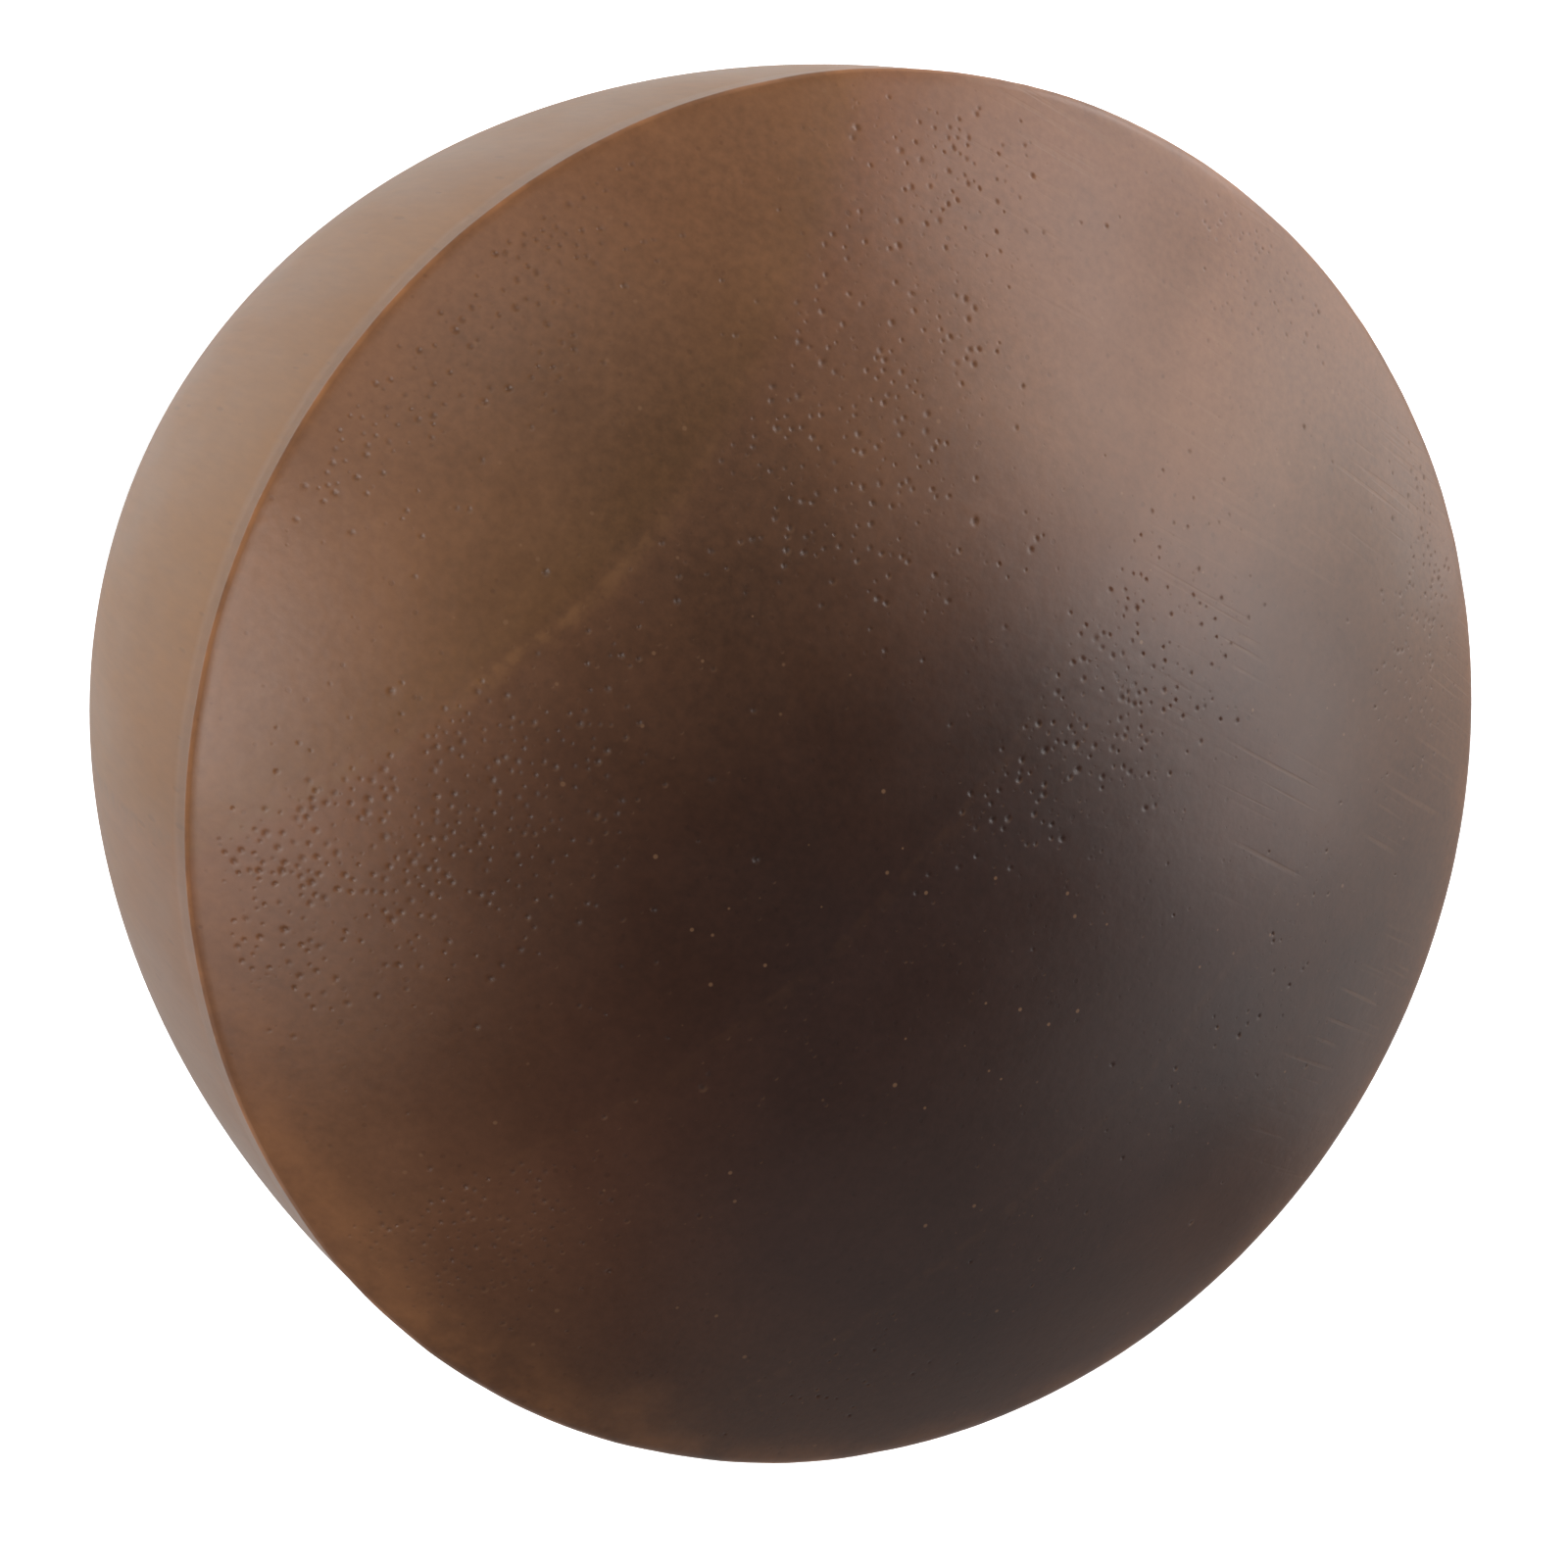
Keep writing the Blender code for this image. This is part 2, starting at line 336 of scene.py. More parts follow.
# %% Shader group: cloudy patches
def clouds_group():
    inputs = [("Position", VECTOR, None), ("Fineness", FLOAT, 40.0), ("Seed", FLOAT, 0.0)]
    outputs = [("Large", FLOAT), ("Small", FLOAT)]
    tree, start, end = new_group("clouds", "ShaderNodeTree", inputs, outputs)
    squeezed = tree.vector("MULTIPLY", start["Position"], (1.0, 1.0, 0.35))
    moved = tree.vector("ADD", squeezed, start["Seed"])
    tree.feed(end["Large"], tree.smooth(tree.noise(moved, start["Fineness"]), 0.32, 0.68))
    tree.feed(end["Small"], tree.noise(moved, tree.times(start["Fineness"], 5.0), 3.0, 0.6))
    return tree.tree


clouds = clouds_group()

# %% [markdown]
# ## Rubbed edges
# Where an edge is eased by hand and handled afterwards, the finish is thinner and the bare wood is
# warmer. The pieces carry an attribute that is 1 on such an edge, and a noise breaks it up.

# %% Shader group: rubbed edges
def rubbed_edge_group():
    inputs = [
        ("Position", VECTOR, None),
        ("Colour", COLOUR, None),
        ("Warm", COLOUR, None),
        ("Amount", FLOAT, 0.6),
    ]
    tree, start, end = new_group("rubbed_edge", "ShaderNodeTree", inputs, [("Colour", COLOUR)])
    broken = tree.remap(tree.noise(start["Position"], 320.0, 4.0, 0.65), 0.38, 0.64, 0.22, 1.0)
    mask = tree.times(tree.attribute("edge"), broken, start["Amount"], clamp=True)
    tree.feed(end["Colour"], tree.mix(mask, start["Colour"], start["Warm"]))
    return tree.tree


rubbed_edge = rubbed_edge_group()

# %% [markdown]
# ## Sanding marks
# The dome is sanded by hand after it leaves the lathe. The last strokes leave thin straight
# scratches in loose bunches, all in about the same direction and on one side of the dome only.

# %% Shader group: sanding marks
def sanding_group():
    inputs = [
        ("Position", VECTOR, None),
        ("Heading", FLOAT, math.radians(-3.0)),
        ("Side", VECTOR, (0.62, 0.78, 0.0)),
        ("Length", FLOAT, 90.0),
        ("Fineness", FLOAT, 2600.0),
    ]
    tree, start, end = new_group("sanding", "ShaderNodeTree", inputs, [("Scratch", FLOAT)])
    feeds = {"Vector": start["Position"], "Angle": start["Heading"]}
    spin = tree.add("ShaderNodeVectorRotate", feeds, rotation_type="Z_AXIS").outputs[0]
    lines = tree.vector("MULTIPLY", spin, tree.combine(start["Length"], start["Fineness"]))
    line = tree.smooth(tree.noise(lines, 1.0, 1.0), 0.56, 0.68)
    bunch = tree.smooth(tree.noise(start["Position"], 150.0, 1.0), 0.44, 0.60)
    towards = tree.vector("DOT_PRODUCT", start["Position"], start["Side"])
    side = tree.smooth(towards, 7.0 * MM, 15.0 * MM)
    tree.feed(end["Scratch"], tree.times(line, bunch, side))
    return tree.tree


sanding = sanding_group()

# %% [markdown]
# ## The head's finish
# End grain drinks more stain than the sides, so the dome is darker than the belly. It is darkest off
# its middle, and that darkness is painted shade. The first growth ring shows as a broken pale streak.
# Satin lacquer lies over everything. It sinks into the open vessels, which is why the dome is full
# of small dimples; those are in the mesh, and the material only darkens them with painted shade and
# paints a highlight on one half of their lips.

# %% Walnut for the head
PAINTED_SHADE_CENTRE = Vector((6.8 * MM, -8.7 * MM, 0.0))    # where the dome is darkest; this darkness is painted shade
STAIN_AND_SHADE_REACH = 40.0 * MM
STAIN_AND_SHADE_DRIFT = 9.0 * MM       # how unevenly the stain and the painted shade spread
# (part of the reach of the stain and the painted shade, linear colour)
ENDS_STAIN_AND_SHADE = [
    (0.28, (0.0355, 0.0152, 0.0104)),
    (0.47, (0.057, 0.0225, 0.0116)),
    (0.60, (0.098, 0.0420, 0.0200)),
    (0.72, (0.166, 0.0770, 0.0370)),
    (0.95, (0.242, 0.1090, 0.0550)),
]
SIDES_STAIN_AND_SHADE = [
    (0.50, (0.195, 0.084, 0.031)),
    (0.85, (0.310, 0.137, 0.043)),
    (1.00, (0.420, 0.184, 0.052)),
]
# (place, tint), from one ring before the first boundary to three rings after it
RING_TINTS = [
    (0.00, (1.05, 1.04, 1.00)),
    (0.20, (1.03, 1.02, 0.90)),
    (0.24, (1.02, 1.00, 0.82)),
    (0.26, (1.06, 1.00, 0.96)),
    (0.49, (0.96, 0.94, 0.96)),
    (0.52, (1.06, 1.04, 1.06)),
    (0.75, (0.92, 0.96, 1.00)),
    (1.00, (1.00, 1.00, 1.00)),
]
REDDER = (1.10, 0.94, 0.86, 1.0)
PIT_SHADE_AND_PORE_TINT = (0.50, 0.45, 0.42, 1.0)
RING_LINE = (0.270, 0.126, 0.050, 1.0)
RUBBED_WALNUT = (0.56, 0.235, 0.090, 1.0)
# pale wood for flecks and scratches, and the painted highlight on the pores' lips
PALE_WALNUT_AND_HIGHLIGHT = (0.330, 0.175, 0.090, 1.0)


def stain_and_painted_shade(tree, position, end_grain):
    """The stain's colour with painted shade, darkest at the shade's centre and darker on end grain than
    on the sides.
    """
    off = tree.vector("SUBTRACT", position, PAINTED_SHADE_CENTRE)
    off = tree.vector("LENGTH", tree.vector("MULTIPLY", off, ACROSS))
    drift = tree.times(tree.math("SUBTRACT", tree.noise(position, 60.0, 3.0), 0.5), STAIN_AND_SHADE_DRIFT)
    part = tree.remap(tree.math("ADD", off, drift), 0.0, STAIN_AND_SHADE_REACH)
    return tree.mix(end_grain, tree.ramp(part, SIDES_STAIN_AND_SHADE), tree.ramp(part, ENDS_STAIN_AND_SHADE))


def grain_shade(tree, grain, cloud, end_grain):
    """Fibre streaks, small clouds and the placed patches of tone, painted highlight and painted shade,
    as one factor.
    """
    spread = tree.remap(end_grain, 0.0, 1.0, 0.5, 1.0)
    streaky = tree.times(tree.remap(grain["Streak"], 0.3, 0.7, -0.12, 0.11), spread)
    broad = tree.times(tree.remap(grain["Broad"], 0.3, 0.7, -0.07, 0.06), spread)
    shade = tree.math("ADD", tree.attribute("tone_and_painted_light"), tree.math("ADD", streaky, broad))
    return tree.times(shade, tree.remap(cloud["Small"], 0.3, 0.7, 0.95, 1.05))


def first_ring_line(tree, rings, position):
    """The pale line of the first ring, broken up and fading towards +Y."""
    up = tree.add("ShaderNodeSeparateXYZ", {0: position}).outputs["Y"]
    fading = tree.remap(up, -1.0 * MM, 11.0 * MM, 0.50, 0.04)
    first = tree.remap(rings["Count"], 0.3, 0.5, fading, 0.04)
    broken = tree.remap(tree.noise(position, 1500.0, 3.0), 0.42, 0.60, 0.12, 1.0)
    return tree.times(rings["Line"], first, broken)


def head_wood():
    material, tree, shader, position = new_material("head_walnut")
    end_grain = tree.attribute("end_grain")
    pit_shade = tree.attribute("pit_shade")
    rings = tree.use(growth_rings, Position=position)
    grain = tree.use(fibres, Position=position, Fineness=2800.0)
    cloud = tree.use(clouds, Position=position, Fineness=42.0)
    pore = tree.use(vessels, Position=position)["Pore"]
    specks = tree.use(vessels, Position=position, Fineness=1150.0, Size=0.11, Share=0.30)
    scratch = tree.use(sanding, Position=position)["Scratch"]

    # the stain, with painted shade that is darkest off the dome's middle
    colour = stain_and_painted_shade(tree, position, end_grain)
    colour = tree.tint(colour, tree.ramp(tree.remap(rings["Count"], -1.0, 3.0), RING_TINTS))
    colour = tree.tint(colour, REDDER, tree.times(cloud["Large"], 0.35))
    colour = tree.tint(colour, tree.grey(grain_shade(tree, grain, cloud, end_grain)))
    colour = tree.mix(first_ring_line(tree, rings, position), colour, RING_LINE)
    worn = tree.use(rubbed_edge, Position=position, Colour=colour, Warm=RUBBED_WALNUT, Amount=0.85)
    fleck = tree.times(specks["Pore"], tree.remap(specks["Each"], 0.0, 1.0, 0.05, 0.45), end_grain)
    # the pale half of a pore's lip is a painted highlight; flecks and sanding scratches are the wood's
    # own
    pale = tree.math("MAXIMUM", tree.times(tree.attribute("lip_highlight"), 0.30), fleck)
    pale = tree.math("MAXIMUM", pale, tree.times(scratch, 0.12))
    colour = tree.mix(pale, worn["Colour"], PALE_WALNUT_AND_HIGHLIGHT)
    # painted shade in the dimples' bowls; the fine pores keep their own darker colour
    sunk = tree.math("MAXIMUM", tree.times(pit_shade, 0.50), tree.times(pore, 0.30))
    tree.feed(shader["Base Color"], tree.tint(colour, PIT_SHADE_AND_PORE_TINT, sunk))

    satin = tree.remap(cloud["Small"], 0.3, 0.7, 0.31, 0.37)
    satin = tree.math("ADD", satin, tree.remap(end_grain, 0.0, 1.0, 0.03, 0.0))
    tree.feed(shader["Roughness"], tree.math("MULTIPLY_ADD", pit_shade, 0.12, satin))

    height = tree.math("MULTIPLY_ADD", pore, -0.6, grain["Streak"])
    uneven = tree.times(tree.noise(position, 1300.0), 2.2, end_grain)
    height = tree.math("ADD", height, uneven)
    height = tree.math("MULTIPLY_ADD", tree.times(scratch, end_grain), -1.5, height)
    tree.feed(shader["Normal"], tree.bump(height, 0.25, 0.02 * MM))
    return material


head_finish = head_wood()
print("head finish has", len(head_finish.node_tree.nodes), "nodes")

# %% [markdown]
# ## The handle's, peg's and wedge's finishes
# The handle is the same wood, paler because its long grain shows and because hands keep it clean.
# Peg and wedge are oak, straight grained and split along its rays so that it drives without breaking.

# %% Walnut for the handle, oak for the peg and the wedge
WARMER = (1.15, 0.93, 0.82, 1.0)
OPEN_PORE = (0.40, 0.34, 0.30, 1.0)


def long_grain_wood(name, roughness, pale, deep, rubbed, spin=(0.0, 0.0, 0.0)):
    """A straight-grained wood; spin turns its grain from Z to the piece's own length."""
    material, tree, shader, place = new_material(name)
    position = tree.add("ShaderNodeMapping", {"Vector": place, "Rotation": spin}).outputs[0]
    rings = {"Pith": (-0.019, 0.011, 0.0), "First_Ring": 0.002, "Spacing": 0.0034, "Waver": 0.0009}
    phase = tree.use(growth_rings, Position=position, **rings)["Phase"]
    grain = tree.use(fibres, Position=position, Fineness=1500.0)
    cloud = tree.use(clouds, Position=position, Fineness=70.0, Seed=3.0)
    pore = tree.use(vessels, Position=position, Fineness=1700.0, Share=0.45)["Pore"]

    late = tree.times(tree.smooth(phase, 0.25, 0.88), tree.smooth(phase, 0.90, 1.0, 1.0, 0.0))
    colour = tree.mix(late, (*pale, 1.0), (*deep, 1.0))
    streaky = tree.remap(grain["Streak"], 0.3, 0.7, 0.84, 1.13)
    broad = tree.remap(grain["Broad"], 0.3, 0.7, 0.88, 1.10)
    colour = tree.tint(colour, tree.grey(tree.times(streaky, broad)))
    colour = tree.tint(colour, WARMER, tree.times(cloud["Large"], 0.6))
    worn = tree.use(rubbed_edge, Position=position, Colour=colour, Warm=(*rubbed, 1.0))
    tree.feed(shader["Base Color"], tree.tint(worn["Colour"], OPEN_PORE, tree.times(pore, 0.75)))
    duller, shinier = roughness + 0.05, roughness - 0.04
    tree.feed(shader["Roughness"], tree.remap(cloud["Small"], 0.3, 0.7, shinier, duller))
    height = tree.math("MULTIPLY_ADD", pore, -1.2, grain["Streak"])
    tree.feed(shader["Normal"], tree.bump(height, 0.35, 0.03 * MM))
    return material


ALONG_X = (0.0, math.pi / 2, 0.0)
handle_finish = long_grain_wood(
    "handle_walnut", 0.40, (0.255, 0.138, 0.070), (0.178, 0.090, 0.045), (0.36, 0.18, 0.085)
)
peg_finish = long_grain_wood(
    "peg_oak", 0.42, (0.430, 0.275, 0.150), (0.330, 0.195, 0.098), (0.30, 0.17, 0.09), spin=ALONG_X
)
wedge_finish = long_grain_wood(
    "wedge_oak", 0.55, (0.470, 0.310, 0.170), (0.370, 0.225, 0.115), (0.40, 0.26, 0.14)
)

# %% [markdown]
# ## Turning
# On the lathe the wood spins and the tool follows one outline. The Geometry Nodes tree does the
# same: it takes the outline as a line of points in the XZ plane and copies it round Z on a grid,
# one column for each step. A Screw modifier could do that too, but the tree can also let the eased
# rim wander a little, as an edge does that is rounded by hand with abrasive paper.

# %% Geometry Nodes: turned on the lathe
WELD = 0.001 * MM            # points nearer than this become one


def lathe_tree():
    inputs = [
        ("Outline", GEOMETRY, None),
        ("Steps", INTEGER, 240),
        ("Edge Radius", FLOAT, 0.0),
        ("Edge Height", FLOAT, 0.0),
        ("Edge Reach", FLOAT, 0.8 * MM),
        ("Edge Wander", FLOAT, 0.0),
        ("Finish", MATERIAL, None),
    ]
    outputs = [("Piece", GEOMETRY)]
    tree, start, end = new_group("turned_on_the_lathe", "GeometryNodeTree", inputs, outputs)
    rows = tree.add("GeometryNodeAttributeDomainSize", {0: start["Outline"]}).outputs["Point Count"]
    columns = tree.math("ADD", start["Steps"], 1.0)
    grid = tree.add("GeometryNodeMeshGrid", {"Vertices X": columns, "Vertices Y": rows}).outputs["Mesh"]
    index = tree.add("GeometryNodeInputIndex").outputs[0]
    row = tree.math("MODULO", index, rows)
    column = tree.math("FLOOR", tree.math("DIVIDE", index, rows))
    place = tree.add("GeometryNodeInputPosition").outputs[0]
    sample = tree.add("GeometryNodeSampleIndex", data_type="FLOAT_VECTOR")
    for name, value in (("Geometry", start["Outline"]), ("Value", place), ("Index", row)):
        tree.feed(sample.inputs[name], value)
    parts = tree.add("ShaderNodeSeparateXYZ", {0: sample.outputs[0]}).outputs
    radius, height = parts["X"], parts["Z"]

    turns = tree.math("MODULO", column, start["Steps"])
    angle = tree.times(tree.math("DIVIDE", turns, start["Steps"]), math.tau)
    cosine = tree.math("COSINE", angle)
    sine = tree.math("SINE", angle)
    uneven = tree.noise(tree.combine(cosine, sine), 4.0, 4.0, 0.6)

    across = tree.math("SUBTRACT", radius, start["Edge Radius"])
    above = tree.math("SUBTRACT", height, start["Edge Height"])
    off = tree.vector("LENGTH", tree.combine(across, above))
    near = tree.smooth(off, 0.0, start["Edge Reach"], 1.0, 0.0)
    rub = tree.times(near, uneven, start["Edge Wander"])
    radius = tree.math("SUBTRACT", radius, rub)
    height = tree.math("SUBTRACT", height, rub)

    target = tree.combine(tree.times(radius, cosine), tree.times(radius, sine), height)
    moved = tree.add("GeometryNodeSetPosition", {"Geometry": grid, "Position": target}).outputs[0]
    feeds = {"Geometry": moved, "Distance": WELD}
    closed = tree.add("GeometryNodeMergeByDistance", feeds).outputs[0]
    smooth = tree.add("GeometryNodeSetShadeSmooth", {"Geometry": closed}).outputs[0]
    real = tree.add("GeometryNodeRealizeInstances", {0: smooth}).outputs[0]
    feeds = {"Geometry": real, "Material": start["Finish"]}
    tree.feed(end["Piece"], tree.add("GeometryNodeSetMaterial", feeds).outputs[0])
    return tree.tree


lathe = lathe_tree()


def link_new(name, mesh):
    piece = bpy.data.objects.new(name, mesh)
    scene.collection.objects.link(piece)
    return piece


def settle(piece):
    """Turn what the piece's modifiers make into its own mesh, and take them off."""
    depsgraph = bpy.context.evaluated_depsgraph_get()
    mesh = bpy.data.meshes.new_from_object(piece.evaluated_get(depsgraph), depsgraph=depsgraph)
    mesh.name = piece.name
    piece.modifiers.clear()
    piece.data = mesh
    return piece


def set_inputs(modifier, **values):
    """Give a Geometry Nodes modifier its named inputs, by their sockets' identifiers."""
    for item in modifier.node_group.interface.items_tree:
        name = item.name.replace(" ", "_")
        if item.in_out == "INPUT" and name in values:
            modifier[item.identifier] = values[name]


def turned(name, outline, finish, steps, **edge):
    """A piece turned from an outline of (radius, height) points that runs down its outside."""
    mesh = bpy.data.meshes.new(name)
    edges = [(k, k + 1) for k in range(len(outline) - 1)]
    mesh.from_pydata([(r, 0.0, z) for r, z in outline], edges, [])
    piece = link_new(name, mesh)
    modifier = piece.modifiers.new("lathe", "NODES")
    modifier.node_group = lathe
    set_inputs(modifier, Steps=steps, Finish=finish, **edge)
    return settle(piece)


def face_outwards(piece):
    """Turn the faces of a mesh outwards, and make sure that it is closed."""
    body = bmesh.new()
    body.from_mesh(piece.data)
    if body.calc_volume(signed=True) < 0:
        bmesh.ops.reverse_faces(body, faces=body.faces)
    open_edges = sum(1 for edge in body.edges if len(edge.link_faces) != 2)
    volume = body.calc_volume(signed=True) / MM ** 3
    body.to_mesh(piece.data)
    body.free()
    print(f"{piece.name}: {len(piece.data.polygons)} faces, {open_edges} open edges, {volume:.0f} mm3")
    assert open_edges == 0, f"{piece.name} doesn't close"


# %% [markdown]
# ## Outline of the head
# The curves are the same ones that the model was designed with, with many more points: a cap of a
# sphere, a small rounding at the rim, a barrel side on a large radius, a hollow down to the neck,
# and a blind socket for the tenon.

# %% Curves for outlines
def arc(centre_r, centre_z, radius, start, end, steps):
    """Points on a circle about (centre_r, centre_z), from one angle to another in degrees."""
    points = []
    for k in range(steps + 1):
        angle = math.radians(start + (end - start) * k / steps)
        points.append((centre_r + radius * math.cos(angle), centre_z + radius * math.sin(angle)))
    return points


def bezier(p0, p1, p2, p3, steps):
    """Points on a cubic curve, without its first point."""
    points = []
    for k in range(1, steps + 1):
        t = k / steps
        a, b, c, d = (1 - t) ** 3, 3 * t * (1 - t) ** 2, 3 * t * t * (1 - t), t ** 3
        points.append(tuple(a * p0[i] + b * p1[i] + c * p2[i] + d * p3[i] for i in (0, 1)))
    return points


def smooth_run(knots, steps):
    """A curve through knots of (radius, height, slope), the slope being dr/dz."""
    points = [knots[0][:2]]
    for (r0, z0, m0), (r1, z1, m1) in zip(knots, knots[1:]):
        third = (z1 - z0) / 3
        leave = (r0 + m0 * third, z0 + third)
        arrive = (r1 - m1 * third, z1 - third)
        points += bezier((r0, z0), leave, arrive, (r1, z1), steps)
    return points


def dome_height(r):
    return DOME_CENTRE_Z + math.sqrt(DOME_R ** 2 - r ** 2)


def side_radius(z):
    drop = z - (RIM_Z - BELLY_DROP)
    return BELLY_R - BELLY_CURVE_R + math.sqrt(BELLY_CURVE_R ** 2 - drop ** 2)


def side_slope(z):
    drop = z - (RIM_Z - BELLY_DROP)
    return -drop / math.sqrt(BELLY_CURVE_R ** 2 - drop ** 2)


# %% [markdown]
# ## Open pores in the dome
# Just outside each ring's boundary, and in loose patches, the vessels are wide enough for the
# lacquer to sink into them. Each leaves a round dimple a quarter of a millimetre wide, and there are
# over a thousand. A bump map would do from afar, but this face is seen from 80 mm, so they
# are modelled. Geometry Nodes scatters their places on a disc, with a density that follows the
# rings, and mesh code then makes one skin with a bowl at each place.

# %% Geometry Nodes: where the pores open
FACE_R = RIM_R - 0.9 * MM    # the pitted skin ends here and the turned rim begins
PORES_R = FACE_R - 0.36 * MM     # no pore lies farther out, so that no bowl reaches over the edge
SCATTER_R = FACE_R - 0.35 * MM   # the disc that the places are scattered on
SCATTER_ROWS = 60                # its small squares, from the middle to the edge
MOST_OPEN = 3.0                  # patches that overlap add up to no more than this
# (x, y, reach, strength) of the patches where pores gather, as parts of the rim's radius
OPEN_PATCHES = [
    (-0.61, -0.29, 0.20, 1.6),
    (-0.80, -0.46, 0.16, 1.0),
    (-0.32, 0.38, 0.17, 1.1),
    (-0.44, 0.28, 0.12, 0.5),
    (-0.38, 0.84, 0.13, 1.0),
    (-0.40, 0.62, 0.14, 0.4),
    (0.08, 0.34, 0.15, 0.6),
    (0.12, 0.20, 0.11, 0.5),
    (-0.04, 0.08, 0.12, 0.6),
    (-0.05, 0.90, 0.12, 0.5),
    (-0.94, 0.10, 0.10, 3.0),
    (-0.84, 0.38, 0.14, 2.6),
    (-0.36, -0.77, 0.14, 1.6),
    (0.25, -0.80, 0.11, 0.4),
    (0.55, 0.05, 0.22, 0.12),
    (0.62, 0.62, 0.14, 1.1),
    (0.46, 0.76, 0.11, 1.1),
    (0.14, 0.90, 0.10, 0.8),
]


def radius_of(point):
    return math.hypot(point.x, point.y)


def patch_strength(x, y):
    """How open the grain is at a place on the face."""
    total = 0.0
    for px, py, reach, strength in OPEN_PATCHES:
        away = math.hypot(x / RIM_R - px, y / RIM_R - py) / reach
        total += strength * math.exp(-away * away)
    return min(total, MOST_OPEN)


def scatter_tree():
    inputs = [
        ("Disc", GEOMETRY, None),
        ("Pith", VECTOR, PITH),
        ("First Ring", FLOAT, FIRST_RING),
        ("Spacing", FLOAT, RING_SPACING),
        ("Closest", FLOAT, 0.4 * MM),
        ("Most", FLOAT, 2.4e6),
        ("Background", FLOAT, 0.05),
        ("Seed", INTEGER, 7),
    ]
    tree, start, end = new_group("where_pores_open", "GeometryNodeTree", inputs, [("Places", GEOMETRY)])
    place = tree.add("GeometryNodeInputPosition").outputs[0]
    length = tree.vector("LENGTH", tree.vector("SUBTRACT", place, start["Pith"]))
    count = tree.math("DIVIDE", tree.math("SUBTRACT", length, start["First Ring"]), start["Spacing"])
    early = tree.smooth(tree.math("FRACT", count), 0.02, 0.7, 1.0, 0.15)
    named = tree.add("GeometryNodeInputNamedAttribute", {"Name": "open_grain"}, data_type="FLOAT")
    lumpy = tree.remap(tree.noise(place, 520.0), 0.36, 0.60, 0.20, 1.0)
    gathered = tree.times(named.outputs[0], early, lumpy)
    density = tree.math("ADD", gathered, tree.times(start["Background"], early))
    feeds = {
        "Mesh": start["Disc"],
        "Distance Min": start["Closest"],
        "Density Max": start["Most"],
        "Density Factor": density,
        "Seed": start["Seed"],
    }
    scattered = tree.add("GeometryNodeDistributePointsOnFaces", feeds, distribute_method="POISSON")
    places = tree.add("GeometryNodePointsToVertices", {0: scattered.outputs["Points"]}).outputs[0]
    tree.feed(end["Places"], places)
    return tree.tree


scatter = scatter_tree()


def flat_disc():
    """A flat disc of small squares that carries how open the grain is."""
    body = bmesh.new()
    squares = SCATTER_ROWS * 2
    bmesh.ops.create_grid(body, x_segments=squares, y_segments=squares, size=SCATTER_R)
    far = [face for face in body.faces if face.calc_center_median().length > SCATTER_R]
    bmesh.ops.delete(body, geom=far, context="FACES")
    mesh = bpy.data.meshes.new("pore_disc")
    body.to_mesh(mesh)
    body.free()
    grain = mesh.attributes.new("open_grain", "FLOAT", "POINT")
    grain.data.foreach_set("value", [patch_strength(v.co.x, v.co.y) for v in mesh.vertices])
    return mesh


def pore_places(**inputs):
    """Scatter places on the disc, and read them back as (x, y) pairs."""
    helper = link_new("pore_disc", flat_disc())
    modifier = helper.modifiers.new("scatter", "NODES")
    modifier.node_group = scatter
    set_inputs(modifier, **inputs)
    settle(helper)
    places = [(v.co.x, v.co.y) for v in helper.data.vertices if radius_of(v.co) < PORES_R]
    bpy.data.objects.remove(helper)
    return places


wide_places = pore_places(Closest=0.32 * MM, Most=11.0e6, Background=0.010, Seed=7)
fine_places = pore_places(Closest=0.28 * MM, Most=5.0e6, Background=0.30, Seed=11)
print(len(wide_places), "wide pores and", len(fine_places), "fine ones")

# %% [markdown]
# ## The pitted skin
# Each wide pore gets four rings of points, from low in the bowl to just outside the lip, and each
# fine one gets two. With a loose net of points between the pores, a Delaunay triangulation joins
# them all into one surface without long thin faces. The height of every point is then the dome's,
# less the depth of the pore that it lies in.

# %% Mesh code: the face of the dome
HEAD_STEPS = 288
WIDE_BOWL = [(0.42, 6), (0.78, 8), (1.10, 9), (1.50, 9)]     # (part of the pore's radius, points on it)
FINE_BOWL = [(1.05, 6), (1.60, 6)]
WIDE_SIZE = (0.080 * MM, 0.18 * MM, 0.11 * MM)   # radius: least, most and commonest
WIDE_DEPTH = (0.10, 0.50, 0.20)                  # the same for the depth, as a part of the radius
FINE_SIZE = (0.045 * MM, 0.080 * MM)
FINE_DEPTH = (0.20, 0.40)
FULLY_DARK = 0.12 * MM       # pores with at least this radius get the full painted shade in their bowl
STRETCH = 0.22               # how much longer than wide a pore can be
HIGHLIT_SIDE = math.radians(-20.0)      # the half of a lip that gets a painted highlight
LIP_AT, LIP_WIDTH = 0.95, 0.45       # parts of the pore's radius
PORE_GAP = 0.32 * MM         # room that a fine pore keeps from a wide one
NET = 0.85 * MM              # width of the net's meshes between the pores
NET_WANDER = 0.12            # part of the net's width
NET_GAP = 0.36 * MM          # room that the net's points keep from a pore
NET_R = FACE_R - 0.45 * MM
SAME_POINT = 1e-6            # millimetres


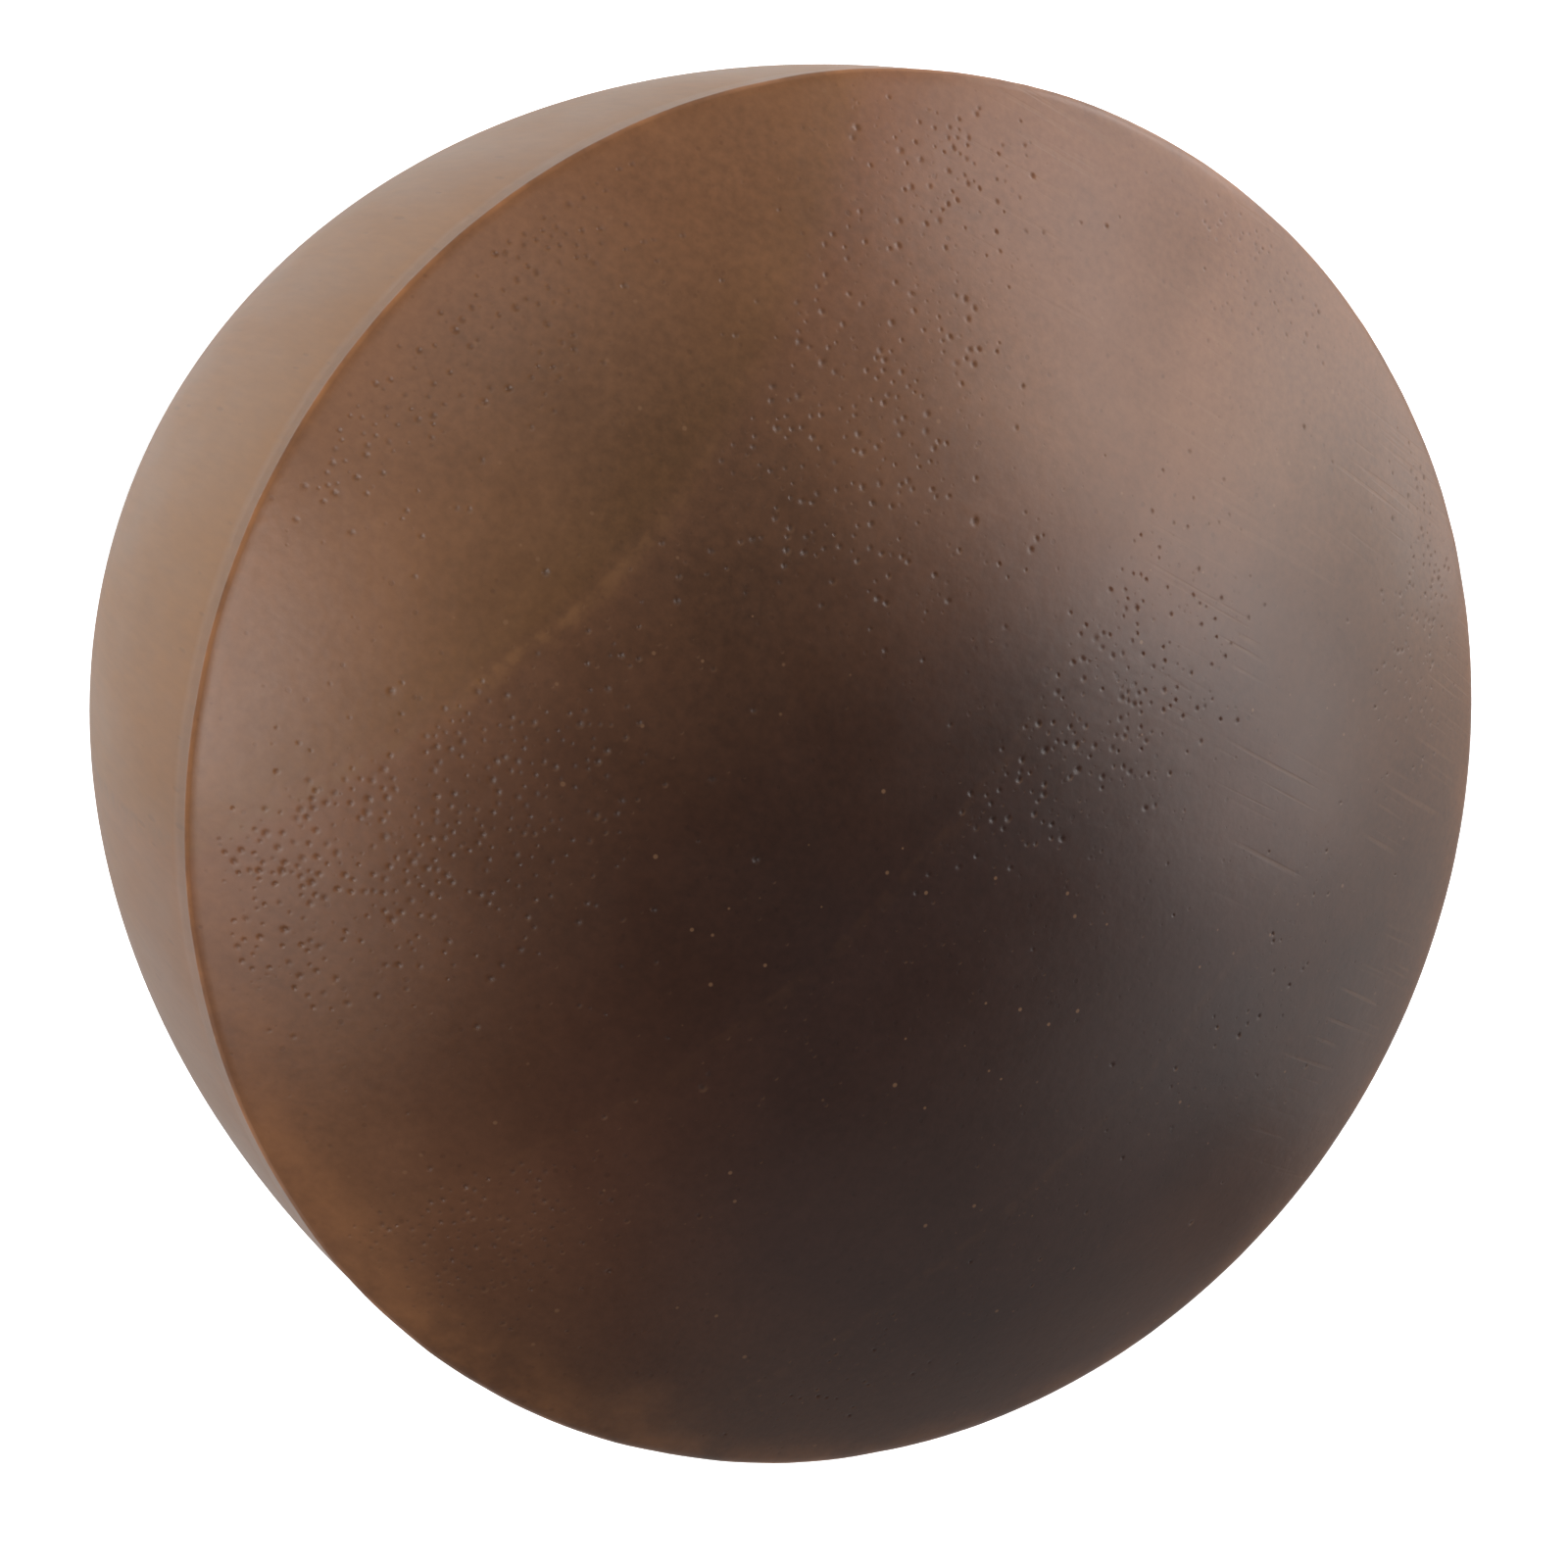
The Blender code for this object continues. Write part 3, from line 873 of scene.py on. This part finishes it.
class Pore:
    """One opening: its middle, its size and how it is stretched."""

    def __init__(self, place, radius, depth, chance):
        self.x, self.y = place
        self.radius = radius
        self.depth = depth
        self.stretch = 1.0 + STRETCH * chance.random()
        self.heading = chance.uniform(0.0, math.tau)
        self.highlight_strength = chance.random() ** 2

    def local(self, x, y):
        """Distance from the middle, 1 at the lip."""
        dx, dy = x - self.x, y - self.y
        cosine, sine = math.cos(self.heading), math.sin(self.heading)
        along = (dx * cosine + dy * sine) / self.stretch
        across = -dx * sine + dy * cosine
        return math.hypot(along, across) / self.radius

    def ring(self, part, count):
        """Points round the pore at a part of its radius."""
        cosine, sine = math.cos(self.heading), math.sin(self.heading)
        points = []
        for k in range(count):
            angle = math.tau * (k + part) / count
            along = part * self.radius * self.stretch * math.cos(angle)
            across = part * self.radius * math.sin(angle)
            x = self.x + along * cosine - across * sine
            points.append((x, self.y + along * sine + across * cosine))
        return points

    def sunk(self, x, y):
        """Depth of the bowl at a place, 0 to 1."""
        part = self.local(x, y)
        return (1.0 - part * part) ** 2 if part < 1.0 else 0.0

    def lip_highlight(self, x, y):
        """Painted highlight: 1 on one half of the pore's lip, 0 on the other half and away from it."""
        half = max(0.0, math.cos(math.atan2(y - self.y, x - self.x) - HIGHLIT_SIDE))
        return self.highlight_strength * half * max(0.0, 1.0 - abs(self.local(x, y) - LIP_AT) / LIP_WIDTH)


def make_pores():
    """The wide pores, and the fine ones that keep clear of them, each with its rings of points."""
    chance = random.Random(5)
    pores = []
    for place in wide_places:
        size = chance.triangular(*WIDE_SIZE)
        depth = size * chance.triangular(*WIDE_DEPTH)
        pores.append((Pore(place, size, depth, chance), WIDE_BOWL))
    taken = kdtree.KDTree(len(pores))
    for k, (pore, bowl) in enumerate(pores):
        taken.insert((pore.x, pore.y, 0.0), k)
    taken.balance()
    for place in fine_places:
        gap = taken.find((*place, 0.0))[2]
        if gap > PORE_GAP:
            size = chance.uniform(*FINE_SIZE)
            depth = size * chance.uniform(*FINE_DEPTH)
            pores.append((Pore(place, size, depth, chance), FINE_BOWL))
    return pores


def face_points(pores, finder):
    """All points of the face, seen from above: the edge ring, the pores' rings and the net."""
    points = []
    for k in range(HEAD_STEPS):
        angle = math.tau * k / HEAD_STEPS
        points.append((FACE_R * math.cos(angle), FACE_R * math.sin(angle)))
    for pore, bowl in pores:
        points.append((pore.x, pore.y))
        for part, count in bowl:
            points += pore.ring(part, count)
    chance = random.Random(3)
    rows = int(FACE_R / NET) + 1
    for row in range(-rows, rows + 1):
        for column in range(-rows, rows + 1):
            x = (column + 0.5 * (row % 2) + chance.uniform(-NET_WANDER, NET_WANDER)) * NET
            y = (row * math.sqrt(3) / 2 + chance.uniform(-NET_WANDER, NET_WANDER)) * NET
            if math.hypot(x, y) < NET_R and finder.find((x, y, 0.0))[2] > NET_GAP:
                points.append((x, y))
    return points


def pitted_face(pores):
    """The face as a mesh; it carries how deep each point lies in a pore, as painted shade, and the
    painted highlight on its lip.
    """
    finder = kdtree.KDTree(len(pores))
    for k, (pore, bowl) in enumerate(pores):
        finder.insert((pore.x, pore.y, 0.0), k)
    finder.balance()
    flat = [Vector((x / MM, y / MM)) for x, y in face_points(pores, finder)]
    points, _, faces = geometry.delaunay_2d_cdt(flat, [], [], 0, SAME_POINT, False)[:3]
    verts, sunk, pale = [], [], []
    for point in points:
        x, y = point.x * MM, point.y * MM
        deepest, dark, light = 0.0, 0.0, 0.0
        for found in finder.find_n((x, y, 0.0), 3):
            pore = pores[found[1]][0]
            amount = pore.sunk(x, y)
            light = max(light, pore.lip_highlight(x, y))
            if amount * pore.depth > deepest:
                deepest = amount * pore.depth
                # the bowl's painted shade, by its depth and the pore's size
                dark = amount * min(1.0, pore.radius / FULLY_DARK)
        verts.append((x, y, dome_height(math.hypot(x, y)) - deepest))
        sunk.append(dark)
        pale.append(light)
    mesh = bpy.data.meshes.new("face")
    mesh.from_pydata(verts, [], faces)
    for name, values in (("pit_shade", sunk), ("lip_highlight", pale)):
        mesh.attributes.new(name, "FLOAT", "POINT").data.foreach_set("value", values)
    return mesh


pores = make_pores()
face_mesh = pitted_face(pores)
print(f"face: {len(face_mesh.vertices)} points, {len(face_mesh.polygons)} triangles")

# %% [markdown]
# ## Head
# The turned body is open at the top, where its ring of points is the same as the face's outer ring,
# so the two weld into one closed skin. The hole for the peg is drilled last, as on the bench, by a
# Boolean with the Manifold solver, which is quick on a mesh this fine.

# %% Make the head
PEG_STEPS = 64
SIDE_ROWS = 44
HOLLOW_PULL = 0.42           # reach of the hollow curve's handles, as a part of its height
SEAM = 0.004 * MM            # how near the face's edge and the rim's first ring lie
DRILL_LENGTH = 90.0 * MM


def head_outline():
    """Down the outside from the edge of the face, under the foot and up into the socket."""
    points = [(FACE_R, dome_height(FACE_R))]
    begin = RIM_R - ARRIS
    points += [(r, dome_height(r)) for r in ((FACE_R + begin) / 2, begin)]
    top = RIM_Z - ARRIS
    points += bezier(points[-1], (RIM_R, RIM_Z), (RIM_R, RIM_Z), (side_radius(top), top), 12)
    for k in range(1, SIDE_ROWS + 1):
        z = top + (NECK_TOP_Z - top) * k / SIDE_ROWS
        points.append((side_radius(z), z))
    r0, z0, m0 = side_radius(NECK_TOP_Z), NECK_TOP_Z, side_slope(NECK_TOP_Z)
    reach = (z0 - HEAD_FOOT_Z) * HOLLOW_PULL
    r1, z1 = HEAD_FOOT_R, HEAD_FOOT_Z + FOOT_ROUND
    points += bezier((r0, z0), (r0 - m0 * reach, z0 - reach), (r1, z1 + reach), (r1, z1), 26)
    points += arc(r1 - FOOT_ROUND, z1, FOOT_ROUND, 0.0, -90.0, 6)[1:]
    points += [(SOCKET_R + 0.5 * MM, HEAD_FOOT_Z), (SOCKET_R, HEAD_FOOT_Z + 0.5 * MM)]
    end = HEAD_FOOT_Z + SOCKET_DEPTH
    points += [(SOCKET_R, z1 + (end - z1) * k / 8) for k in range(1, 9)]
    points += [(SOCKET_R / 2, end), (0.0, end)]
    return points


def join_into(piece, other):
    """Weld another mesh onto an open piece."""
    body = bmesh.new()
    body.from_mesh(piece.data)
    for name in ("pit_shade", "lip_highlight"):
        body.verts.layers.float.new(name)
    body.from_mesh(other)
    bmesh.ops.remove_doubles(body, verts=body.verts, dist=SEAM)
    bmesh.ops.recalc_face_normals(body, faces=body.faces)
    body.to_mesh(piece.data)
    body.free()


def drill(piece, radius):
    """Cut the hole for the cross peg, along X."""
    body = bmesh.new()
    turn = Matrix.Translation((0.0, 0.0, PEG_Z)) @ Matrix.Rotation(math.pi / 2, 4, "Y")
    size = {"radius1": radius, "radius2": radius, "depth": DRILL_LENGTH}
    bmesh.ops.create_cone(body, cap_ends=True, segments=PEG_STEPS, matrix=turn, **size)
    mesh = bpy.data.meshes.new("peg_drill")
    body.to_mesh(mesh)
    body.free()
    cut(piece, mesh)


def cut(piece, cutter_mesh):
    cutter = link_new("cutter", cutter_mesh)
    boolean = piece.modifiers.new("cut", "BOOLEAN")
    boolean.operation = "DIFFERENCE"
    boolean.solver = "MANIFOLD"
    boolean.object = cutter
    settle(piece)
    bpy.data.objects.remove(cutter)


def mark_points(piece, name, rule):
    """Store a value at each point of a piece, by a rule of its place."""
    layer = piece.data.attributes.new(name, "FLOAT", "POINT")
    layer.data.foreach_set("value", [rule(vert.co) for vert in piece.data.vertices])


def smooth_with_edges(piece, angle=32.0):
    piece.data.shade_smooth()
    piece.data.set_sharp_from_angle(angle=math.radians(angle))


def wear(piece, finish):
    """Give every face of a piece the one finish."""
    piece.data.materials.clear()
    piece.data.materials.append(finish)
    piece.data.polygons.foreach_set("material_index", [0] * len(piece.data.polygons))


def soft_step(value, low, high):
    t = min(max((value - low) / (high - low), 0.0), 1.0)
    return t * t * (3.0 - 2.0 * t)


HELD_SIDE = math.radians(-122.0)     # the side of the rim where a hand has rubbed it most
RIM_FADE = (0.15 * MM, 0.45 * MM)    # the worn line on the rim is full, then gone, this far off it
RUBBED_REACH = 2.5 * MM              # how far a fainter wear goes on over the dome and the side


def rim_edge(point):
    """1 on the rim, fading out over the next millimetres of the dome and the side."""
    off = math.hypot(radius_of(point) - RIM_R, point.z - RIM_Z)
    held = max(0.0, math.cos(math.atan2(point.y, point.x) - HELD_SIDE)) ** 6
    reach = RUBBED_REACH * (1.0 + 0.8 * held)
    around = 0.20 * (1.0 + held) * (1.0 - soft_step(off, 0.0, reach))
    return max(1.0 - soft_step(off, *RIM_FADE), around)


# (x, y, reach, change) of paler and darker areas, as parts of the rim's radius; partly the wood's
# own tone and partly painted highlight and painted shade on the dome
TONE_AND_LIGHT_PATCHES = [
    (0.00, 0.44, 0.27, 0.72),
    (-0.02, 0.19, 0.15, -0.38),
    (-0.62, 0.58, 0.20, -0.14),
    (0.56, -0.36, 0.22, 0.18),
    (-0.48, 0.14, 0.20, -0.28),
    (-0.62, 0.28, 0.16, -0.16),
    (0.40, 0.16, 0.22, 0.46),
    (-0.34, -0.68, 0.24, 0.50),
    (-0.30, -0.36, 0.20, -0.10),
    (0.05, -0.72, 0.30, 0.18),
    (-0.88, -0.08, 0.16, 0.34),
    (-0.84, -0.38, 0.18, 0.30),
    (-0.30, -0.06, 0.22, -0.20),
    (0.86, 0.22, 0.28, -0.26),
]
# the same columns for the side, whose two darker patches are painted shade
SIDE_SHADE_PATCHES = [
    (-0.70, -0.80, 0.42, -0.02),
    (-0.72, 0.78, 0.38, -0.18),
]


def tone_and_painted_light(point):
    """1, raised or lowered by the patches of tone, painted highlight and painted shade."""
    total = 1.0
    for px, py, reach, change in TONE_AND_LIGHT_PATCHES if point.z > RIM_Z else SIDE_SHADE_PATCHES:
        away = math.hypot(point.x / RIM_R - px, point.y / RIM_R - py) / reach
        total += change * math.exp(-away * away)
    return total


def end_grain_share(point):
    """1 on the dome and under the foot, 0 on the sides."""
    if point.z < RIM_Z - 3.0 * MM:
        return 1.0 - soft_step(point.z - HEAD_FOOT_Z, 0.0, 0.5 * MM)
    return 1.0 - soft_step(dome_height(radius_of(point)) - point.z, 0.15 * MM, 0.6 * MM)


mallet_head = turned(
    "turned_head", head_outline(), head_finish, HEAD_STEPS,
    Edge_Radius=RIM_R, Edge_Height=RIM_Z, Edge_Reach=0.5 * MM, Edge_Wander=0.16 * MM,
)
join_into(mallet_head, face_mesh)
face_outwards(mallet_head)
drill(mallet_head, PEG_R + GLUE_LINE)
mark_points(mallet_head, "edge", rim_edge)
mark_points(mallet_head, "end_grain", end_grain_share)
# patches of the wood's tone, with painted highlight and painted shade among them
mark_points(mallet_head, "tone_and_painted_light", tone_and_painted_light)
smooth_with_edges(mallet_head, 60.0)
wear(mallet_head, head_finish)
face_outwards(mallet_head)

# %% [markdown]
# ## Handle
# One turning again: a round tenon, a shoulder that bears on the head, a thin waist for finger and
# thumb, a palm swell, and a flared butt that stops the hand. The tenon is sawn down its middle for
# the wedge.

# %% Make the handle
HANDLE_STEPS = 192
SHOULDER_R = 15.0 * MM
TENON_CHAMFER = 1.2 * MM
EASED_EDGE = 0.7 * MM
KERF_DEPTH = 26.0 * MM
KERF_LENGTH = 80.0 * MM      # well past the tenon on both sides
KERF_WIDE = 3.4 * MM
KERF_NARROW = 1.6 * MM
BUTT_FACE_R = 16.6 * MM
GRIP = [                     # (radius, height, slope) down the grip
    (12.0 * MM, 74.5 * MM, 0.0),
    (13.9 * MM, 52.5 * MM, 0.0),
    (12.1 * MM, 29.0 * MM, 0.0),
    (18.0 * MM, 10.0 * MM, 0.0),
]


def handle_outline():
    """Tenon, shoulder, grip and butt, from the top down."""
    shoulder_z = HEAD_FOOT_Z - GLUE_LINE
    tenon_r = SOCKET_R - FIT_GAP
    points = [(0.0, tenon_top), (tenon_r / 2, tenon_top)]
    points += [(tenon_r - TENON_CHAMFER, tenon_top), (tenon_r, tenon_top - TENON_CHAMFER)]
    straight = tenon_top - TENON_CHAMFER - shoulder_z
    points += [(tenon_r, shoulder_z + straight * k / 8) for k in range(7, -1, -1)]
    edge_z = shoulder_z - EASED_EDGE
    points += arc(SHOULDER_R - EASED_EDGE, edge_z, EASED_EDGE, 90.0, 10.0, 5)
    top = (SHOULDER_R, edge_z, 0.55)
    foot = (BUTT_FACE_R + EASED_EDGE, EASED_EDGE, 0.30)
    points += smooth_run([top] + GRIP + [foot], 22)
    points += arc(BUTT_FACE_R, EASED_EDGE, EASED_EDGE, -15.0, -90.0, 5)
    points += [(BUTT_FACE_R * part, 0.0) for part in (0.66, 0.33, 0.0)]
    return points


def kerf_block():
    """The saw cut: across X, wide at the tenon's end and narrow at its foot."""
    body = bmesh.new()
    bmesh.ops.create_cube(body, size=1.0)
    mouth = HEAD_FOOT_Z + SOCKET_DEPTH
    for vert in body.verts:
        at_top = vert.co.z > 0
        vert.co.x *= KERF_LENGTH
        vert.co.y *= KERF_WIDE if at_top else KERF_NARROW
        vert.co.z = mouth if at_top else mouth - KERF_DEPTH
    mesh = bpy.data.meshes.new("kerf")
    body.to_mesh(mesh)
    body.free()
    return mesh


def handle_edge(point):
    """1 on the rounded edges of the shoulder and the butt, and a little on the widest places."""
    r, z = radius_of(point), point.z
    shoulder = math.hypot(r - SHOULDER_R, z - HEAD_FOOT_Z)
    butt = math.hypot(r - BUTT_FACE_R - EASED_EDGE, z)
    swell = 0.35 * soft_step(r, 16.5 * MM, 18.0 * MM)
    return max(1.0 - soft_step(min(shoulder, butt), 0.5 * MM, 2.2 * MM), swell)


mallet_handle = turned("turned_handle", handle_outline(), handle_finish, HANDLE_STEPS)
face_outwards(mallet_handle)
cut(mallet_handle, kerf_block())
drill(mallet_handle, PEG_R + GLUE_LINE)
mark_points(mallet_handle, "edge", handle_edge)
smooth_with_edges(mallet_handle)
wear(mallet_handle, handle_finish)
face_outwards(mallet_handle)

# %% [markdown]
# ## Cross peg
# The peg is a round oak rod driven through the neck and the tenon. Its ends are pared flush, so
# they follow the neck's curve and show end grain. The rod is turned two units long, and each of its
# points is then pulled in to the neck's surface above and below it.

# %% Make the cross peg
PEG_EASE = 0.22 * MM         # how much the knife rounds the rod's ends
OUTSIDE = [point for point in head_outline() if point[0] > SOCKET_R + 1.0 * MM]


def neck_radius(z):
    """Radius of the head's outline at a height, between its own points."""
    for (r0, z0), (r1, z1) in zip(OUTSIDE, OUTSIDE[1:]):
        if z1 <= z <= z0 and z0 > z1:
            return r1 + (r0 - r1) * (z - z1) / (z0 - z1)
    return HEAD_FOOT_R


def peg_outline():
    """A rod from z = 1 down to z = -1, with rounded ends."""
    upper = [(PEG_R * part, 1.0) for part in (0.0, 0.25, 0.5, 0.75, 0.88)]
    for angle in (0.4, 0.9, 1.3, 1.57):
        upper.append((PEG_R - PEG_EASE * (1 - math.sin(angle)), 1.0 - 0.006 * (1 - math.cos(angle))))
    upper += [(PEG_R, 1.0 - 0.25 * k) for k in range(1, 4)]
    return upper + [(PEG_R, 0.0)] + [(r, -z) for r, z in reversed(upper)]


def pare_flush(piece):
    """Lay the rod along X, with its ends on the neck's surface."""
    for vert in piece.data.vertices:
        y, z = vert.co.y, PEG_Z - vert.co.x
        reach = math.sqrt(neck_radius(z) ** 2 - y * y)
        vert.co = (vert.co.z * reach, y, z)


cross_peg = turned("pared_peg", peg_outline(), peg_finish, PEG_STEPS)
pare_flush(cross_peg)
mark_points(cross_peg, "edge", lambda point: 0.0)     # flush with the neck, so nothing rubs it
smooth_with_edges(cross_peg)
wear(cross_peg, peg_finish)
face_outwards(cross_peg)

# %% [markdown]
# ## Wedge
# The fox wedge is a plain split of oak, hidden in the head. The model's own shape is right for it,
# so it only gets its wood.

# %% Give the wedge its wood
fox_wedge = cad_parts["fox_wedge"]
fox_wedge.data.materials.clear()
fox_wedge.data.materials.append(wedge_finish)

# %% [markdown]
# ## Floor
# The mallet stands on a plain white table. The table glows beyond the mallet's own shadow, as it
# would under a bright lamp, so that it melts into the backdrop.

# %% Floor
FLOOR_HALF = 3.0
SHADOW_R, GLOW_R = 17.0 * MM, 27.0 * MM      # the glow begins and is full at these radii
FLOOR_GIVES = 0.18           # the part of the glow that shines on the mallet


def floor_finish():
    material, tree, shader, position = new_material("white_table")
    away = tree.vector("LENGTH", tree.vector("MULTIPLY", position, ACROSS))
    tree.feed(shader["Emission Color"], tree.grey(tree.smooth(away, SHADOW_R, GLOW_R, 0.1, 1.0)))
    seen = tree.add("ShaderNodeLightPath").outputs["Is Camera Ray"]
    tree.feed(shader["Emission Strength"], tree.remap(seen, 0.0, 1.0, FLOOR_GIVES, 1.0))
    tree.feed(shader["Base Color"], (0.86, 0.86, 0.86, 1.0))
    tree.feed(shader["Roughness"], 0.6)
    return material


def make_floor():
    body = bmesh.new()
    bmesh.ops.create_grid(body, x_segments=8, y_segments=8, size=FLOOR_HALF)
    mesh = bpy.data.meshes.new("floor")
    body.to_mesh(mesh)
    body.free()
    floor = link_new("floor", mesh)
    floor.data.materials.append(floor_finish())
    return floor


floor = make_floor()

# %% [markdown]
# ## Softboxes
# Three groups of softboxes stand round the head: beyond it, to its left, and fainter ones to its
# right. Each is as bright as one soft reflection on the dome needs it to be.

# %% Softboxes
LIGHT_DISTANCE = 0.50
# name: azimuth and elevation from the head in degrees, width and height in degrees, power in watts
SOFTBOXES = {
    "left": (-160, 36, 24, 24, 0.68),
    "left_front": (-133, 38, 26, 26, 0.30),
    "left_back": (149, 41, 24, 20, 0.15),
    "key_high": (52, 44, 34, 22, 0.55),
    "key": (27, 31, 30, 24, 0.40),
    "key_middle": (52, 22, 18, 18, 0.22),
    "key_back": (80, 30, 22, 22, 0.42),
    "key_low": (50, 3, 40, 18, 0.37),
    "back_low": (78, 1, 24, 20, 0.42),
    "right": (12, 10, 36, 30, 0.18),
    "right_high": (-5, 30, 20, 22, 0.065),
    "front_right": (-38, 20, 44, 50, 0.12),
}


def softbox(name, azimuth, elevation, width, height, power):
    """A rectangular area light that faces the head, as wide and as high as it looks from there."""
    light = bpy.data.lights.new(name, "AREA")
    light.shape = "RECTANGLE"
    light.size = 2.0 * LIGHT_DISTANCE * math.tan(math.radians(width / 2))
    light.size_y = 2.0 * LIGHT_DISTANCE * math.tan(math.radians(height / 2))
    light.energy = power
    turn, rise = math.radians(azimuth), math.radians(elevation)
    away = Vector((math.cos(turn) * math.cos(rise), math.sin(turn) * math.cos(rise), math.sin(rise)))
    lamp = bpy.data.objects.new(name, light)
    lamp.location = rim_centre + away * LIGHT_DISTANCE
    lamp.rotation_euler = away.to_track_quat("Z", "Y").to_euler()
    scene.collection.objects.link(lamp)


for name, values in SOFTBOXES.items():
    softbox(name, *values)
print(len(SOFTBOXES), "softboxes")

# %% [markdown]
# ## Surroundings
# The backdrop is pure white where the camera sees it. To the mallet it is dimmer, like the walls of
# a light tent, so that the softboxes stay the main light.

# %% Surroundings
TENT_GLOW = 0.10


def light_tent(glow):
    """White where the camera looks past the table, and a weak even glow for everything else."""
    world = bpy.data.worlds.new("light_tent")
    scene.world = world
    world.use_nodes = True
    tree = Tree(world.node_tree)
    background = world.node_tree.nodes["Background"]
    seen = tree.add("ShaderNodeLightPath").outputs["Is Camera Ray"]
    tree.feed(background.inputs["Strength"], tree.remap(seen, 0.0, 1.0, glow, 1.0))
    background.inputs["Color"].default_value = (1.0, 1.0, 1.0, 1.0)


light_tent(TENT_GLOW)

# %% [markdown]
# ## The pieces on the frame
# Each new piece rides on the mallet's one body and stands for its plain solid in the model, which
# is hidden. The wedge is the model's own.

# %% Tie the pieces to the frame
PIECES = {
    "mallet_head": (mallet_head, "head_wood"),
    "mallet_handle": (mallet_handle, "handle_wood"),
    "cross_peg": (cross_peg, "peg_wood"),
}
for node, (piece, finish) in PIECES.items():
    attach(piece, "root")
    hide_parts(node)
    print(node, "is", piece.name)
